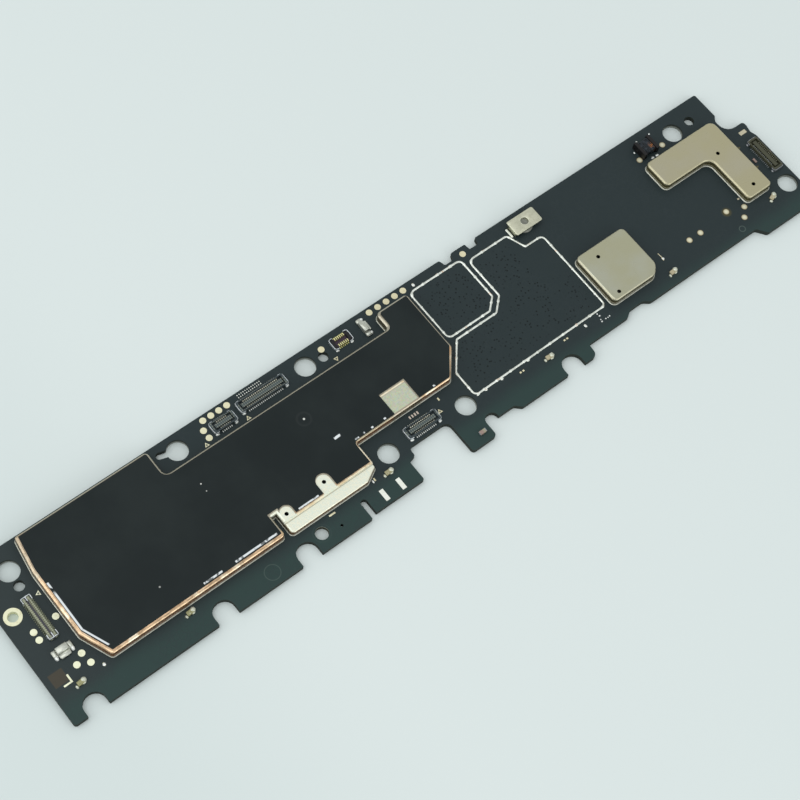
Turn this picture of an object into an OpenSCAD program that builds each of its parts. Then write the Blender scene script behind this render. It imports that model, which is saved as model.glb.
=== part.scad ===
// Main board of a tablet: a long, narrow circuit board with soldered sheet-metal
// shield cans, board-to-board connectors, ground clips, a clip nut and solder rings.
// The board lies flat, top side up. Plan sizes are measured from the lower left corner.

/* [Board] */
// Length of the board over the lower right shoulder
board_l = 157.2; // [150:0.1:170]
// Width of the board from the long top edge to the long bottom edge
board_w = 30.4; // [29:0.1:34]
// Thickness of the laminate
board_t = 1.0; // [0.6:0.05:1.6]
// Distance that the shoulder stands out beyond the upper right edge
shoulder_out = 3.45; // [2.6:0.05:5]
// Width of the hanging tab at the bottom edge
tab_w = 4.95; // [4:0.05:5.6]
// Distance that the tab reaches below the bottom edge
tab_drop = 0.45; // [0.1:0.05:2]
// Length of the cut-out in the bottom edge
cutout_l = 8.15; // [6:0.05:8.4]
// Depth of the cut-out in the bottom edge
cutout_depth = 6.2; // [4:0.05:6.2]
// Radius of the round notches in the bottom edge
notch_r = 1.92; // [1:0.01:2.1]

/* [Holes] */
// Diameter of the screw holes
screw_d = 3.68; // [2.4:0.01:3.9]
// Diameter of the small locating holes
locating_d = 1.8; // [0.8:0.05:2]
// Diameter of the tooling hole near the bottom edge
tooling_d = 2.26; // [1:0.02:2.4]
// Width of the slot that leads into the keyhole
keyslot_w = 1.25; // [0.6:0.05:1.8]
// Hole diameter of the plated ground eyelet
eyelet_d = 1.75; // [1:0.05:2]
// Outer diameter of the ground eyelet's ring
eyelet_ring_d = 2.95; // [2.2:0.05:3.4]

/* [Shield cans] */
// Height of the shield cans above the board
can_h = 1.6; // [1.5:0.05:2.2]
// Height of the lower shelf of the main can
shelf_h = 1.1; // [0.8:0.05:1.3]
// Sheet thickness of the cans
sheet_t = 0.15; // [0.08:0.01:0.2]
// Outer radius of the bend between wall and top
bend_r = 0.35; // [0.25:0.01:0.5]
// Length and width of the square can
square_can = [10.8, 10.4]; // [8:0.05:10.8]
// Width of the long can's upper arm
upper_arm_w = 5.7; // [4:0.05:6.5]
// Width of the long can's side arm
side_arm_w = 5.7; // [4.5:0.05:6.5]
// Diameter of the vent holes
vent_d = 0.7; // [0.3:0.05:0.9]
// Foot width of the solder fillet around each can
fillet_w = 0.16; // [0.05:0.01:0.25]

/* [Heat film] */
// Thickness of the copper foil
foil_t = 0.05; // [0.02:0.01:0.1]
// Thickness of the black graphite film
film_t = 0.1; // [0.05:0.01:0.2]
// Strip of foil that shows around the film
foil_margin = 0.12; // [0.05:0.01:0.2]
// Length and width of the bare window by the can's edge
window_size = [5.15, 4.05]; // [3:0.05:8]

/* [Solder rings] */
// Width of the solder bead on the open rings
bead_w = 0.4; // [0.2:0.01:0.6]
// Height of the solder bead
bead_h = 0.14; // [0.05:0.01:0.3]

/* [Connectors] */
// Spacing of the contacts
pitch = 0.35; // [0.3:0.01:0.4]
// Width of one contact
contact_w = 0.15; // [0.08:0.01:0.18]
// Thickness of the contact strip
contact_t = 0.07; // [0.04:0.01:0.08]
// Height of the receptacle housings
receptacle_h = 0.75; // [0.6:0.05:1.1]
// Width of the receptacle housings
receptacle_w = 2.0; // [1.8:0.05:2.3]
// Length of a housing beyond its outermost contact
end_l = 1.3; // [1.1:0.05:1.5]
// Reach of the contact tails beyond the housing
tail_l = 0.3; // [0.1:0.02:0.4]
// Height of the plug headers
header_h = 0.6; // [0.5:0.05:0.9]
// Thickness of the metal hold-downs
holddown_t = 0.12; // [0.05:0.01:0.16]
// Gap between a housing and the metal around it
fit_gap = 0.01; // [0.01:0.01:0.03]

/* [Clips] */
// Length and width of the clip nut's plate
nut_plate = [5.7, 3.1]; // [4:0.1:6]
// Height of the clip nut above the board
nut_h = 1.3; // [0.9:0.05:2]
// Thickness of the clip nut's plate
nut_t = 0.3; // [0.2:0.05:0.4]
// Diameter of the clip nut's hole
nut_d = 1.4; // [0.8:0.05:1.7]
// Outer diameter of the clip nut's barrel
nut_barrel_d = 2.7; // [2.2:0.05:2.9]
// Length of a ground spring
spring_l = 3.4; // [2.4:0.1:3.6]
// Width of the edge ground spring
spring_w = 1.9; // [1.5:0.05:2.2]
// Width of the top ground spring
top_spring_w = 1.45; // [1.3:0.05:2]
// Height of a ground spring
spring_h = 1.1; // [0.7:0.05:1.5]
// Sheet thickness of a ground spring
spring_t = 0.12; // [0.08:0.01:0.15]

/* [Pads and small parts] */
// Diameter of the round contact pads
pad_d = 1.12; // [0.6:0.02:1.3]
// Thickness of pads, marks and tinned contacts
pad_t = 0.04; // [0.02:0.01:0.08]
// Length, width and height of a chip capacitor
chip_size = [1.6, 0.8, 0.55]; // [0.4:0.05:1.8]
// Length of a chip capacitor's metal ends
chip_end = 0.4; // [0.2:0.05:0.5]
// Length, width and height of the wound inductor
coil_size = [3.4, 3.1, 1.5]; // [1:0.1:3.6]
// Thickness of the inductor's end flanges
flange_t = 0.6; // [0.3:0.05:0.9]

/* [Inner parts] */
// Edge length of the processor
processor_w = 14; // [10:0.5:14]
// Height of the processor
processor_h = 0.65; // [0.4:0.05:0.7]
// Edge length of the memory package stacked on the processor
memory_w = 12; // [8:0.5:13]
// Height of the memory package
memory_h = 0.5; // [0.3:0.05:0.55]
// Height of the storage chip
storage_h = 1.0; // [0.6:0.05:1.2]
// Height of the power and radio chips
chip_h = 0.8; // [0.5:0.05:0.9]
// Height of the power inductors
inductor_h = 0.9; // [0.5:0.05:1]

/* [Hidden] */
$fn = 48;
arc_steps = 5;                       // straight pieces in each rounded corner
bend_steps = 3;                      // straight pieces across a sheet bend
right = board_l;                     // places at the right end are counted from here
top = board_w;                       // places at the top edge are counted from here
deck = board_t;                      // level of the board's top side
ceiling = can_h - sheet_t;           // clear height inside the cans
eps = 0.01;
lap = 0.1;                           // flat margin of a can's wall, which its top overlaps

tab_x = 76.55;                       // left side of the hanging tab
tab_right = tab_x + tab_w;
cutout_x = tab_x - cutout_l;         // left side of the cut-out
slot_edge_y = 0.45;                  // bottom edge between the slot and the cut-out
foot_y = 2.0;                        // bottom edge right of the tab
front_y = 0.95;                      // bottom edge at the middle
step_y = 3.3;                        // long step of the bottom edge on the right
shoulder_y = 21.05;                  // top of the right shoulder
upper_right = right - shoulder_out;  // upper part of the right-hand edge
notch_places = [[4.3, 1.0], [28.3, 1.3], [44.4, 1.35], [100.15, 2.0]];
side_notch = [0.77, 24.1, 24.9];     // hollow above the shoulder: depth, rise and end
small_notch = [83.95, 3.35];         // right side and top of the notch beside the tab
slot_place = [56.7, 2.9];            // round end of the narrow slot
slot_w = 1.15;

screw_places = [[5.7, top - 4.2], [63.8, top - 2.75], [65.2, 7.4], [80.8, 6.7],
                [right - 12.25, top - 3.8], [right - 2.25, 6.95]];
keyhole = [38.25, top - 2.8];
keyslot_end = [-2.85, 0.85];         // end of the slot, from the keyhole's centre
locating_places = [[5.67, 23.25], [67.3, top - 3.05], [right - 8.05, top - 3.6]];
tooling_place = [48.15, 2.75];
eyelet_place = [2.13, 19.6];
guide_place = [51.5, 1.95];          // pin-sized hole beside the tooling hole
guide_d = 0.5;

shelf_y = 7.0;                       // front foot of the step down to the shelf
shelf_run = 0.3;                     // length of that step
slit_x = [42.95, 44.0];              // walls on both sides of the slit
slit_end = 9.2;
shelf_end = 61.65;                   // right end of the shelf
main_front = 11.45;                  // front wall right of the shelf
main_left = 8.25;
main_right = 85.15;
block_x = 78.6;                     // left wall of the upper right block
main_back = top - 5.75;               // long back wall
block_back = top - 2.3;              // back wall of that block
left_block_x = 33.8;                 // right wall of the upper left block
left_block_back = top - 0.65;
ear_places = [[45.27, 8.33], [53.2, 9.1]];
ear_r = [1.2, 1.34];
ear_holes = [[45.2, 8.17], [53.25, 9.04]];
window_x = 69.6;
square_place = [112.95, 6.35];        // lower left corner of the square can
square_cut = [1.55, 1.55];            // its cut corner
square_vents = [[3.4, 8.3], [1.88, 1.12]];
long_right = right - 5.6;            // outer wall of the long can
long_left = right - 21.5;
long_front = 7.98;
long_back = top - 6.4;
long_vents = [[right - 9.46, 18.17], [right - 8.56, 9.82]];
lug_places = [17.05, 12.25];
lug_size = [0.85, 1.0];

// Contact rows of each connector: centre, contacts in a row, turn
receptacle_40 = [[55.0, top - 2.7], 20, 0];
receptacle_24 = [[72.65, 8.1], 12, 0];
receptacle_12 = [[46.95, top - 3.2], 6, 0];
receptacle_28 = [[right - 1.75, 13.6], 14, 90];
header_36 = [[5.25, 17.05], 18, 90];
header_12 = [[71.4, top - 2.45], 6, 0];
header_w = [1.9, 2.2];               // over the tails of the long and the small header

small_ring = [[86.25, 17.9, 0.9], [95.2, 17.9, 0.4], [97.35, 19.85, 0.4],
              [97.35, top - 1.95, 0.9], [86.25, top - 1.95, 1.1]];
large_ring = [[83.2, 7.15, 0.8], [112.0, 7.35, 0.8], [112.0, top - 6.4, 0.9],
              [108.2, top - 6.4, 0.4], [106.85, top - 2.9, 0.7], [98.4, top - 2.9, 1.1],
              [98.4, 19.3, 0.5], [95.9, 17.0, 0.4], [87.25, 17.0, 0.4], [83.2, 12.2, 0.6]];

// Place along the gap between the square can and the long can, as a share of it
function between_cans(share) = let (a = square_place.x + square_can.x, b = long_right - side_arm_w)
    a + share * (b - a);
pad_places = [[3.25, 15.7], [3.25, 14.2], [7.35, 15.9], [7.15, 8.75], [5.55, 7.65],
              [7.45, 6.75], [67.8, top - 1.8], [43.6, top - 2.45], [43.6, top - 4.0],
              for (k = [0:3]) [44.55 + 1.57 * k, top - 0.95],
              for (k = [0:4]) [78.5 + 1.8 * k, top - 0.95], [98.45, top - 1.3],
              [between_cans(0.393), 8.4], [between_cans(0.51), 8.4], [right - 15.5, 8.9],
              [right - 12.15, 7.8], [right - 13.6, 6.2], [right - 20.98, top - 4.67],
              [right - 15.5, top - 4.6]];
// Triangular contact-one marks: place, turn
mark_places = [[7.3, 20.5, 90], [42.55, top - 4.8, 0], [50.75, top - 4.85, 0],
               [68.8, top - 4.6, 180], [76.6, 8.3, 0]];
mark_r = 0.5;
dash_places = [for (k = [0:3]) [71.9 + 0.53 * k, 10.3], [60.5, 5.1], [8.85, 5.3],
               [87.8, top - 1.1], [77.8, 10.2], [106.6, 6.3], [between_cans(0.106), 8.3]];
dash_size = [0.26, 0.55];
oblong_place = [right - 1.7, 19.4];
bar_places = [[60.15, 2.05], [63.5, 2.05]];
bar_size = [0.78, 2.1];
chip_places = [[4.45, 5.0, 5], [23.95, 4.3, 5], [63.05, 4.75, 0], [97.65, 5.35, -5],
               [125.75, 5.35, 5], [right - 6.7, 6.3, 20]];
tab_chip = [79.85, 1.3];
coil_place = [right - 18.7, top - 3.55];
nut_place = [110.75, top - 2.85];
spring_places = [[5.1, 10.55, 0], [76.15, top - 2.75, 90]];

part_gap = 2;                        // room beside a chip for a column of small parts
storage_place = [20.5, 17.5];
storage_size = [11.5, 13];
processor_place = [52.6, (shelf_y + shelf_run + main_back) / 2];
power_place = [37.5, 15.5];
core_power_place = [71.5, (main_front + main_back) / 2];
radio_place = square_place + square_can / 2 + [0.2, 0.4];
charger_place = [right - 15.6, long_back - upper_arm_w / 2];
audio_place = [long_right - side_arm_w / 2, 13.8];
power_w = 6.5;
core_power_w = 5;
radio_w = 7.5;
charger_w = 4.2;
inductor_size = [2.5, 2.0];
// Evenly spaced places at x, from y0 to y1
function column(x, y0, y1, n) = [for (k = [0:n - 1]) [x, y0 + (y1 - y0) * k / (n - 1)]];
inductor_places = concat([for (k = [0:5]) [14.5 + 3.2 * k, 8.4]],
                         column(core_power_place.x + core_power_w / 2 + part_gap + 0.3,
                                main_front + 2.3, main_back - 2.3, 3));
crystal_size = [3.2, 2.5, 0.7];
crystal_places = [[66.5, main_back - 3.45], [115.7, 7.85]];
inner_chip = [1.0, 0.5, 0.45];
inner_chip_places = concat(
    column(processor_place.x - processor_w / 2 - part_gap, slit_end + 2.2, main_back - 2.75, 8),
    column(processor_place.x + processor_w / 2 + part_gap, main_front + 0.95, main_back - 2.45, 8),
    column(storage_place.x + storage_size.x / 2 + part_gap + 0.75, storage_place.y - 6.7,
           storage_place.y + 2.9, 5),
    column(square_place.x + square_can.x - 1.15, square_place.y + 3.85, square_place.y + 7.05, 3));

// ---- paths: lists of [x, y, corner radius], counter-clockwise ----

function unit(v) = v / norm(v);
function flat(p) = [p.x, p.y];
function left_of(v) = [-v.y, v.x];
function before(path, i) = path[(i + len(path) - 1) % len(path)];
function after(path, i) = path[(i + 1) % len(path)];
function turn(a, c, b) = cross(flat(c) - flat(a), flat(b) - flat(c));

// The same path, moved inwards by d, with its corners kept concentric
function inset(path, d) = [for (i = [0:len(path) - 1])
    let (a = before(path, i), c = path[i], b = after(path, i),
         m = left_of(unit(flat(c) - flat(a))), n = left_of(unit(flat(b) - flat(c))),
         q = flat(c) + d * (m + n) / (1 + m * n),
         r = c[2] - d * sign(turn(a, c, b)))
    [q.x, q.y, c[2] == 0 ? 0 : max(r, 0.02), c[3]]];

// Points of one corner, rounded by an arc
function corner(a, c, b) =
    let (u = unit(flat(a) - flat(c)), v = unit(flat(b) - flat(c)), half = acos(u * v) / 2,
         centre = flat(c) + unit(u + v) * c[2] / sin(half),
         start = flat(c) + u * c[2] / tan(half) - centre,
         sweep = sign(turn(a, c, b)) * (180 - 2 * half))
    [for (k = [0:arc_steps]) let (w = atan2(start.y, start.x) + sweep * k / arc_steps)
        centre + c[2] * [cos(w), sin(w)]];

function rounded(path) = [for (i = [0:len(path) - 1])
    each (path[i][2] == 0 ? [flat(path[i])] : corner(before(path, i), path[i], after(path, i)))];

// Heights given with the corners, one for each point of the rounded outline
function heights(path) = [for (c = path) each [for (k = [0:(c[2] == 0 ? 0 : arc_steps)]) c[3]]];

// Outline of a thin strip of thickness t that follows a line of points
function strip(line, t) =
    let (last = len(line) - 1,
         side = [for (i = [0:last])
             let (m = left_of(unit(line[max(i, 1)] - line[max(i, 1) - 1])),
                  n = left_of(unit(line[min(i, last - 1) + 1] - line[min(i, last - 1)])))
             (m + n) / (1 + m * n) * t / 2])
    concat([for (i = [0:last]) line[i] + side[i]], [for (i = [last:-1:0]) line[i] - side[i]]);

function ring(points, z) = [for (i = [0:len(points) - 1])
    [points[i].x, points[i].y, is_list(z) ? z[i] : z]];
function band(a, b, n) = [for (i = [0:n - 1]) [a + i, b + i, b + (i + 1) % n, a + (i + 1) % n]];

// ---- general shapes ----

module plate(path, t) {
    linear_extrude(t) polygon(rounded(path));
}

module disc(d, t) {
    cylinder(d = d, h = t);
}

module box(size) {
    translate([-size.x / 2, -size.y / 2, 0]) cube(size);
}

module slab(size, t) {
    box([size.x, size.y, t]);
}

// Closed bead that follows a path. Its section is a list of [offset inwards, height].
module bead(path, section) {
    n = len(rounded(path));
    m = len(section);
    polyhedron(points = [for (s = section) each ring(rounded(inset(path, s[0])), s[1])],
               faces = [for (k = [0:m - 1]) each band(k * n, ((k + 1) % m) * n, n)]);
}

// Wall and bend of a sheet-metal can. Each corner of the path carries the height of the
// top there. The profile is a list of [offset inwards, distance below the top].
module can_skirt(path) {
    z = heights(path);
    n = len(z);
    r = bend_r - sheet_t;
    angles = [for (k = [0:bend_steps]) 90 * k / bend_steps];
    profile = concat([for (w = angles) bend_r * [1 - cos(w), 1 - sin(w)]],
                     [[bend_r + lap, 0], [bend_r + lap, sheet_t]],
                     [for (k = [bend_steps:-1:0])
                         [bend_r, bend_r] - r * [cos(angles[k]), sin(angles[k])]]);
    rings = concat([ring(rounded(path), 0)],
                   [for (p = profile) ring(rounded(inset(path, p[0])), [for (h = z) h - p[1]])],
                   [ring(rounded(inset(path, sheet_t)), 0)]);
    m = len(rings);
    polyhedron(points = [for (line = rings) each line],
               faces = [for (k = [0:m - 1]) each band(k * n, ((k + 1) % m) * n, n)]);
}

module can_top(outline, h) {
    translate([0, 0, h - sheet_t]) linear_extrude(sheet_t) polygon(outline);
}

module formed_can(path) {
    can_skirt(path);
    can_top(rounded(inset(path, bend_r + lap / 2)), can_h);
}

module wall_fillet(path) {
    bead(path, [[0, 0], [-fillet_w, 0], [-fillet_w * 0.35, fillet_w * 0.35], [0, fillet_w]]);
}

module solder_ring(path) {
    bead(path, [[bead_w / 2, 0], [-bead_w / 2, 0], [-bead_w * 0.38, bead_h * 0.6],
                [-bead_w * 0.16, bead_h], [bead_w * 0.16, bead_h],
                [bead_w * 0.38, bead_h * 0.6]]);
}

module at(place, turn = 0) {
    translate([place.x, place.y, deck]) rotate(turn) children();
}

// Places the finished model with its bottom centre at the origin
module centred() {
    translate([-board_l / 2, -(board_w - tab_drop) / 2, 0]) children();
}

// ---- board ----

// Round-topped opening in an edge that runs towards +x: edge level before and after it
function edge_notch(place, r, y0, y1) =
    [[place.x - r, y0, 0.1], [place.x - r, place.y + r, r * 0.97],
     [place.x + r, place.y + r, r * 0.97], [place.x + r, y1, 0.1]];

small_notch_r = min(0.47 * (small_notch.x - tab_right), 1.15);

board_path = [
    [0, 0, 0.5],
    each edge_notch(notch_places[0], notch_r, 0, 0),
    each edge_notch(notch_places[1], notch_r, 0, 0),
    each edge_notch(notch_places[2], notch_r, 0, 0),
    each edge_notch(slot_place, slot_w / 2, 0, slot_edge_y),
    [cutout_x - 1.4, slot_edge_y, 0.25],
    [cutout_x - 1.4, cutout_depth - 1.95, 0.5], [cutout_x, cutout_depth - 1.6, 0.3],
    [cutout_x, cutout_depth, 0.8], [tab_x, cutout_depth, 1.2], [tab_x, -tab_drop, 0.6],
    [tab_right, -tab_drop, 0.6], [tab_right, small_notch.y, small_notch_r],
    [small_notch.x, small_notch.y, small_notch_r], [small_notch.x, foot_y, 0.1],
    [87.2, foot_y, 0.8], [88.3, front_y, 0.6],
    each edge_notch(notch_places[3], notch_r, front_y, front_y),
    [104.6, front_y, 1.0], [104.75, step_y, 0.5], [113.6, step_y, 0.8],
    [114.9, step_y + 0.9, 0.9], [117.7, step_y + 0.9, 0.9], [119.0, step_y, 0.8],
    [right - 13.6, step_y, 0.8], [right - 12.2, 1.45, 0.6], [right, 1.45, 0.8],
    [right, 17.5, 1.5], [right - 0.4, 18.8, 0.7], [right - 0.1, 20.0, 0.7],
    [right - 0.1, shoulder_y, 0.55], [upper_right - side_notch[0], shoulder_y, 2.1],
    [upper_right - side_notch[0], side_notch[1], 1.2], [upper_right, side_notch[2], 0.15],
    [upper_right, top, 0.4],
    [102.15, top, 0.3], [101.9, top - 1.25, 0.3], [100.05, top - 1.25, 0.3],
    [99.9, top, 0.25], [96.85, top, 0.4], [96.35, top - 1.25, 0.3],
    [94.6, top - 1.25, 0.3], [94.3, top, 0.4], [0, top, 0.5]];

module through(place, d) {
    translate([place.x, place.y, -1]) cylinder(d = d, h = board_t + 2);
}

module keyhole_cut() {
    through(keyhole, screw_d);
    l = norm(keyslot_end) + keyslot_w / 2;
    translate([keyhole.x, keyhole.y, -1]) rotate(atan2(keyslot_end.y, keyslot_end.x))
        plate([[0, -keyslot_w / 2, 0], [l, -keyslot_w / 2, keyslot_w * 0.48],
               [l, keyslot_w / 2, keyslot_w * 0.48], [0, keyslot_w / 2, 0]], board_t + 2);
}

module circuit_board() {
    color([0.19, 0.24, 0.25]) centred() difference() {
        plate(board_path, board_t);
        for (p = screw_places) through(p, screw_d);
        for (p = locating_places) through(p, locating_d);
        through(tooling_place, tooling_d);
        through(guide_place, guide_d);
        through(eyelet_place, eyelet_d + 2 * pad_t);
        keyhole_cut();
    }
}

// Plated ring on both sides of the board and the barrel between them
module ground_eyelet() {
    color([0.94, 0.91, 0.78]) centred() difference() {
        union() {
            at(eyelet_place) disc(eyelet_ring_d, pad_t);
            translate([eyelet_place.x, eyelet_place.y, 0]) disc(eyelet_d + 2 * pad_t, board_t);
        }
        through(eyelet_place, eyelet_d);
    }
}

// ---- shield cans ----

// Main can, starting at the left end of the shelf
main_path = [
    [slit_x[1], shelf_y, 0, shelf_h], [slit_x[1], 5.05, 0.7, shelf_h],
    [59.1, 5.05, 0.6, shelf_h], [shelf_end, 6.5, 0.4, shelf_h],
    [shelf_end, shelf_y, 0, shelf_h], [shelf_end, shelf_y + shelf_run, 0, can_h],
    [shelf_end, main_front, 0.4, can_h], [main_right - 3.85, main_front, 0.9, can_h],
    [main_right, 15.95, 0.8, can_h], [main_right, block_back, 0.7, can_h],
    [block_x, block_back, 0.9, can_h], [block_x, main_back, 0.6, can_h],
    [left_block_x, main_back, 0.9, can_h], [left_block_x, left_block_back, 0.8, can_h],
    [main_left + 0.95, left_block_back, 0.4, can_h], [main_left, 23.3, 4, can_h],
    [main_left, 10.9, 1.5, can_h], [main_left + 2.25, 5.4, 0.6, can_h],
    [slit_x[0], 5.4, 0.6, can_h], [slit_x[0], slit_end, 0, can_h],
    [slit_x[1], slit_end, 0, can_h], [slit_x[1], shelf_y + shelf_run, 0, can_h]];
shelf_points = 3 + 3 * arc_steps + 2;

square_path = [
    [square_place.x, square_place.y, 0.9, can_h],
    [square_place.x + square_can.x - square_cut.x, square_place.y, 1.8, can_h],
    [square_place.x + square_can.x, square_place.y + square_cut.y, 1.8, can_h],
    [square_place.x + square_can.x, square_place.y + square_can.y, 0.9, can_h],
    [square_place.x, square_place.y + square_can.y, 0.9, can_h]];

long_path = [
    [long_right - side_arm_w, long_front, 0.8, can_h], [long_right, long_front, 0.8, can_h],
    [long_right, long_back, 1.3, can_h], [long_left, long_back, 0.9, can_h],
    [long_left, long_back - upper_arm_w, 0.9, can_h],
    [long_right - side_arm_w, long_back - upper_arm_w, 1.6, can_h]];

module vent(place) {
    translate([place.x, place.y, 0]) cylinder(d = vent_d, h = can_h + 1);
}

// Slanted sheet between the shelf and the can's top
module shelf_step() {
    rise = can_h - shelf_h;
    back = sheet_t * tan(atan2(rise, shelf_run) / 2);
    x = slit_x[1] + bend_r + lap / 2;
    translate([x, shelf_y, shelf_h]) rotate([90, 0, 90])
        linear_extrude(shelf_end - bend_r - lap / 2 - x)
            polygon([[0, 0], [-lap / 2, 0], [-lap / 2, -sheet_t], [back, -sheet_t],
                     [shelf_run + back, rise - sheet_t], [shelf_run + back, rise],
                     [shelf_run, rise]]);
}

module main_shield_can() {
    edge = rounded(inset(main_path, bend_r + lap / 2));
    color([0.8, 0.79, 0.68]) centred() at([0, 0]) difference() {
        union() {
            can_skirt(main_path);
            can_top([for (i = [0:shelf_points - 1]) edge[i]], shelf_h);
            can_top([for (i = [shelf_points:len(edge) - 1]) edge[i]], can_h);
            shelf_step();
        }
        for (p = ear_holes) vent(p);
    }
}

module square_shield_can() {
    color([0.69, 0.67, 0.57]) centred() at([0, 0]) difference() {
        formed_can(square_path);
        for (p = square_vents) vent(square_place + p);
    }
}

// Small pointed tab that stands out from the long can's outer wall
module lug(y) {
    translate([long_right, y, can_h / 2])
        linear_extrude(sheet_t)
            polygon([[-sheet_t / 2, -lug_size.y / 2], [lug_size.x, 0],
                     [-sheet_t / 2, lug_size.y / 2]]);
}

module long_shield_can() {
    color([0.66, 0.63, 0.52]) centred() at([0, 0]) {
        difference() {
            formed_can(long_path);
            for (p = long_vents) vent(p);
        }
        for (y = lug_places) lug(y);
    }
}

module main_can_solder() {
    color([0.78, 0.74, 0.66]) centred() at([0, 0]) wall_fillet(main_path);
}

module square_can_solder() {
    color([0.78, 0.76, 0.7]) centred() at([0, 0]) wall_fillet(square_path);
}

module long_can_solder() {
    color([0.78, 0.76, 0.7]) centred() at([0, 0]) wall_fillet(long_path);
}

// ---- heat film ----

film_inset = bend_r + foil_margin;
film_shift = 0.1;                    // the film was laid this far towards +x and +y
film_reach = 0.05;                   // it still reaches past the foil at the front edges by this

// Bare places in the film: two ears over the shelf and a window at the front wall
module film_windows(shrink) {
    for (k = [0, 1]) {
        translate(ear_places[k]) circle(r = ear_r[k] - shrink);
        translate([ear_places[k].x - ear_r[k] + shrink, shelf_y])
            square([2 * (ear_r[k] - shrink), ear_places[k].y - shelf_y]);
    }
    translate([window_x + shrink, main_front])
        square([window_size.x - 2 * shrink, window_size.y + bend_r - shrink]);
}

// The can's top without the shelf, reaching further out at the step and the front wall
function top_path(step_reach, front_reach) = [for (c = main_path) if (c[3] > shelf_h)
    let (reach = c.y == shelf_y + shelf_run ? step_reach : c.y == main_front ? front_reach : 0)
    [c.x, c.y - reach, c[2], c[3]]];

module film_sheet(path, grow, t) {
    linear_extrude(t) difference() {
        polygon(rounded(inset(path, film_inset - grow)));
        film_windows(grow);
    }
}

module copper_foil() {
    color([0.85, 0.55, 0.36]) centred() at([0, 0])
        translate([0, 0, can_h]) film_sheet(top_path(bend_r, 0), foil_margin, foil_t);
}

module graphite_film() {
    color([0.17, 0.18, 0.19]) centred() at([0, 0])
        translate([film_shift, film_shift, can_h + foil_t])
            film_sheet(top_path(bend_r + film_reach, bend_r - film_reach), 0, film_t);
}

// ---- solder rings ----

module small_solder_ring() {
    color([0.88, 0.88, 0.86]) centred() at([0, 0]) solder_ring(small_ring);
}

module large_solder_ring() {
    color([0.88, 0.88, 0.86]) centred() at([0, 0]) solder_ring(large_ring);
}

// ---- connectors ----

function row_l(pins) = (pins - 1) * pitch;
function housing_l(pins) = row_l(pins) + 2 * end_l;

module connector(spec) {
    centred() at(spec[0], spec[2]) children();
}

// Repeats a contact along both rows
module per_contact(pins) {
    for (k = [0:pins - 1], side = [0, 180])
        rotate(side) translate([(k - (pins - 1) / 2) * pitch, 0, 0]) children();
}

// Turns a profile drawn in y and z into a strip of the given width, centred in x
module across(width) {
    translate([-width / 2, 0, 0]) rotate([90, 0, 90]) linear_extrude(width) children();
}

floor_t = 0.15;                      // housing floor under the contacts
wall_t = 0.2;                        // long walls of the housings
end_wall = 0.35;                     // end walls of the receptacles
island_w = 0.7;                      // tongue between the contact rows
slot_gap = 0.02;                     // room beside a contact in its slot
leg_y = receptacle_w / 2 - wall_t - contact_t;   // upright leg of a receptacle contact
hook = 0.1;                          // inward bend at the head of that leg

module receptacle_housing(pins) {
    l = housing_l(pins);
    difference() {
        plate([[-l / 2, -receptacle_w / 2, 0.15], [l / 2, -receptacle_w / 2, 0.15],
               [l / 2, receptacle_w / 2, 0.15], [-l / 2, receptacle_w / 2, 0.15]], receptacle_h);
        translate([0, 0, floor_t]) linear_extrude(receptacle_h) difference() {
            square([l - 2 * end_wall, receptacle_w - 2 * wall_t], center = true);
            square([row_l(pins) + 2 * island_w, island_w], center = true);
        }
        translate([0, 0, receptacle_h - wall_t / 2])
            slab([row_l(pins) + 3 * island_w, island_w + eps], receptacle_h);
        per_contact(pins)
            translate([-contact_w / 2 - slot_gap, leg_y - contact_t, -1])
                cube([contact_w + 2 * slot_gap, receptacle_w, 1 + floor_t + slot_gap]);
    }
}

module receptacle_contacts(pins) {
    head = receptacle_h - 2 * hook;
    per_contact(pins) across(contact_w)
        polygon(strip([[receptacle_w / 2 + tail_l, contact_t / 2], [leg_y, contact_t / 2],
                       [leg_y, head], [leg_y - hook, head + hook],
                       [leg_y - 2 * hook, head]], contact_t));
}

// Sheet-metal brackets hooked round both ends of a housing, with solder feet
module holddowns(l, w, h) {
    grip = end_l * 0.6;
    foot = [grip * 0.7, holddown_t * 2];
    for (side = [0, 180]) rotate(side) {
        difference() {
            translate([l / 2 - grip, -w / 2 - fit_gap - holddown_t, 0])
                cube([grip + fit_gap + holddown_t, w + 2 * (fit_gap + holddown_t), h]);
            translate([0, 0, -1]) slab([l + 2 * fit_gap, w + 2 * fit_gap], h + 2);
            translate([l / 2, 0, h * 0.45]) slab([3 * grip, w * 0.5], h);
        }
        for (s = [-1, 1])
            translate([l / 2 - foot.x / 2, s * (w / 2 + fit_gap + holddown_t + foot.y / 2), 0])
                slab(foot, holddown_t);
    }
}

header_base = 0.18;                  // floor of a plug header
ridge_w = 0.35;                      // plastic ridge inside each contact
header_tail = 0.24;

function ridge_y(w) = w / 2 - header_tail - contact_t / 2 - fit_gap;   // its outer face
ridge_h = header_h - contact_t - fit_gap;
function header_l(pins) = row_l(pins) + 2 * end_l * 0.8;

module header_housing(pins, w) {
    l = header_l(pins);
    gap = ridge_y(w) - ridge_w;
    linear_extrude(header_base) square([l, 2 * ridge_y(w)], center = true);
    linear_extrude(ridge_h) difference() {
        square([l, 2 * ridge_y(w)], center = true);
        square([row_l(pins) + 2 * pitch, 2 * gap], center = true);
    }
}

// Contacts bent over the ridges: tail, outer leg, head, inner leg
module header_contacts(pins, w) {
    outer = w / 2 - header_tail;
    inner = ridge_y(w) - ridge_w - fit_gap - contact_t / 2;
    head = header_h - contact_t / 2;
    per_contact(pins) across(contact_w)
        polygon(strip([[w / 2, contact_t / 2], [outer, contact_t / 2], [outer, head],
                       [inner, head], [inner, header_base + fit_gap]], contact_t));
}

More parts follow.
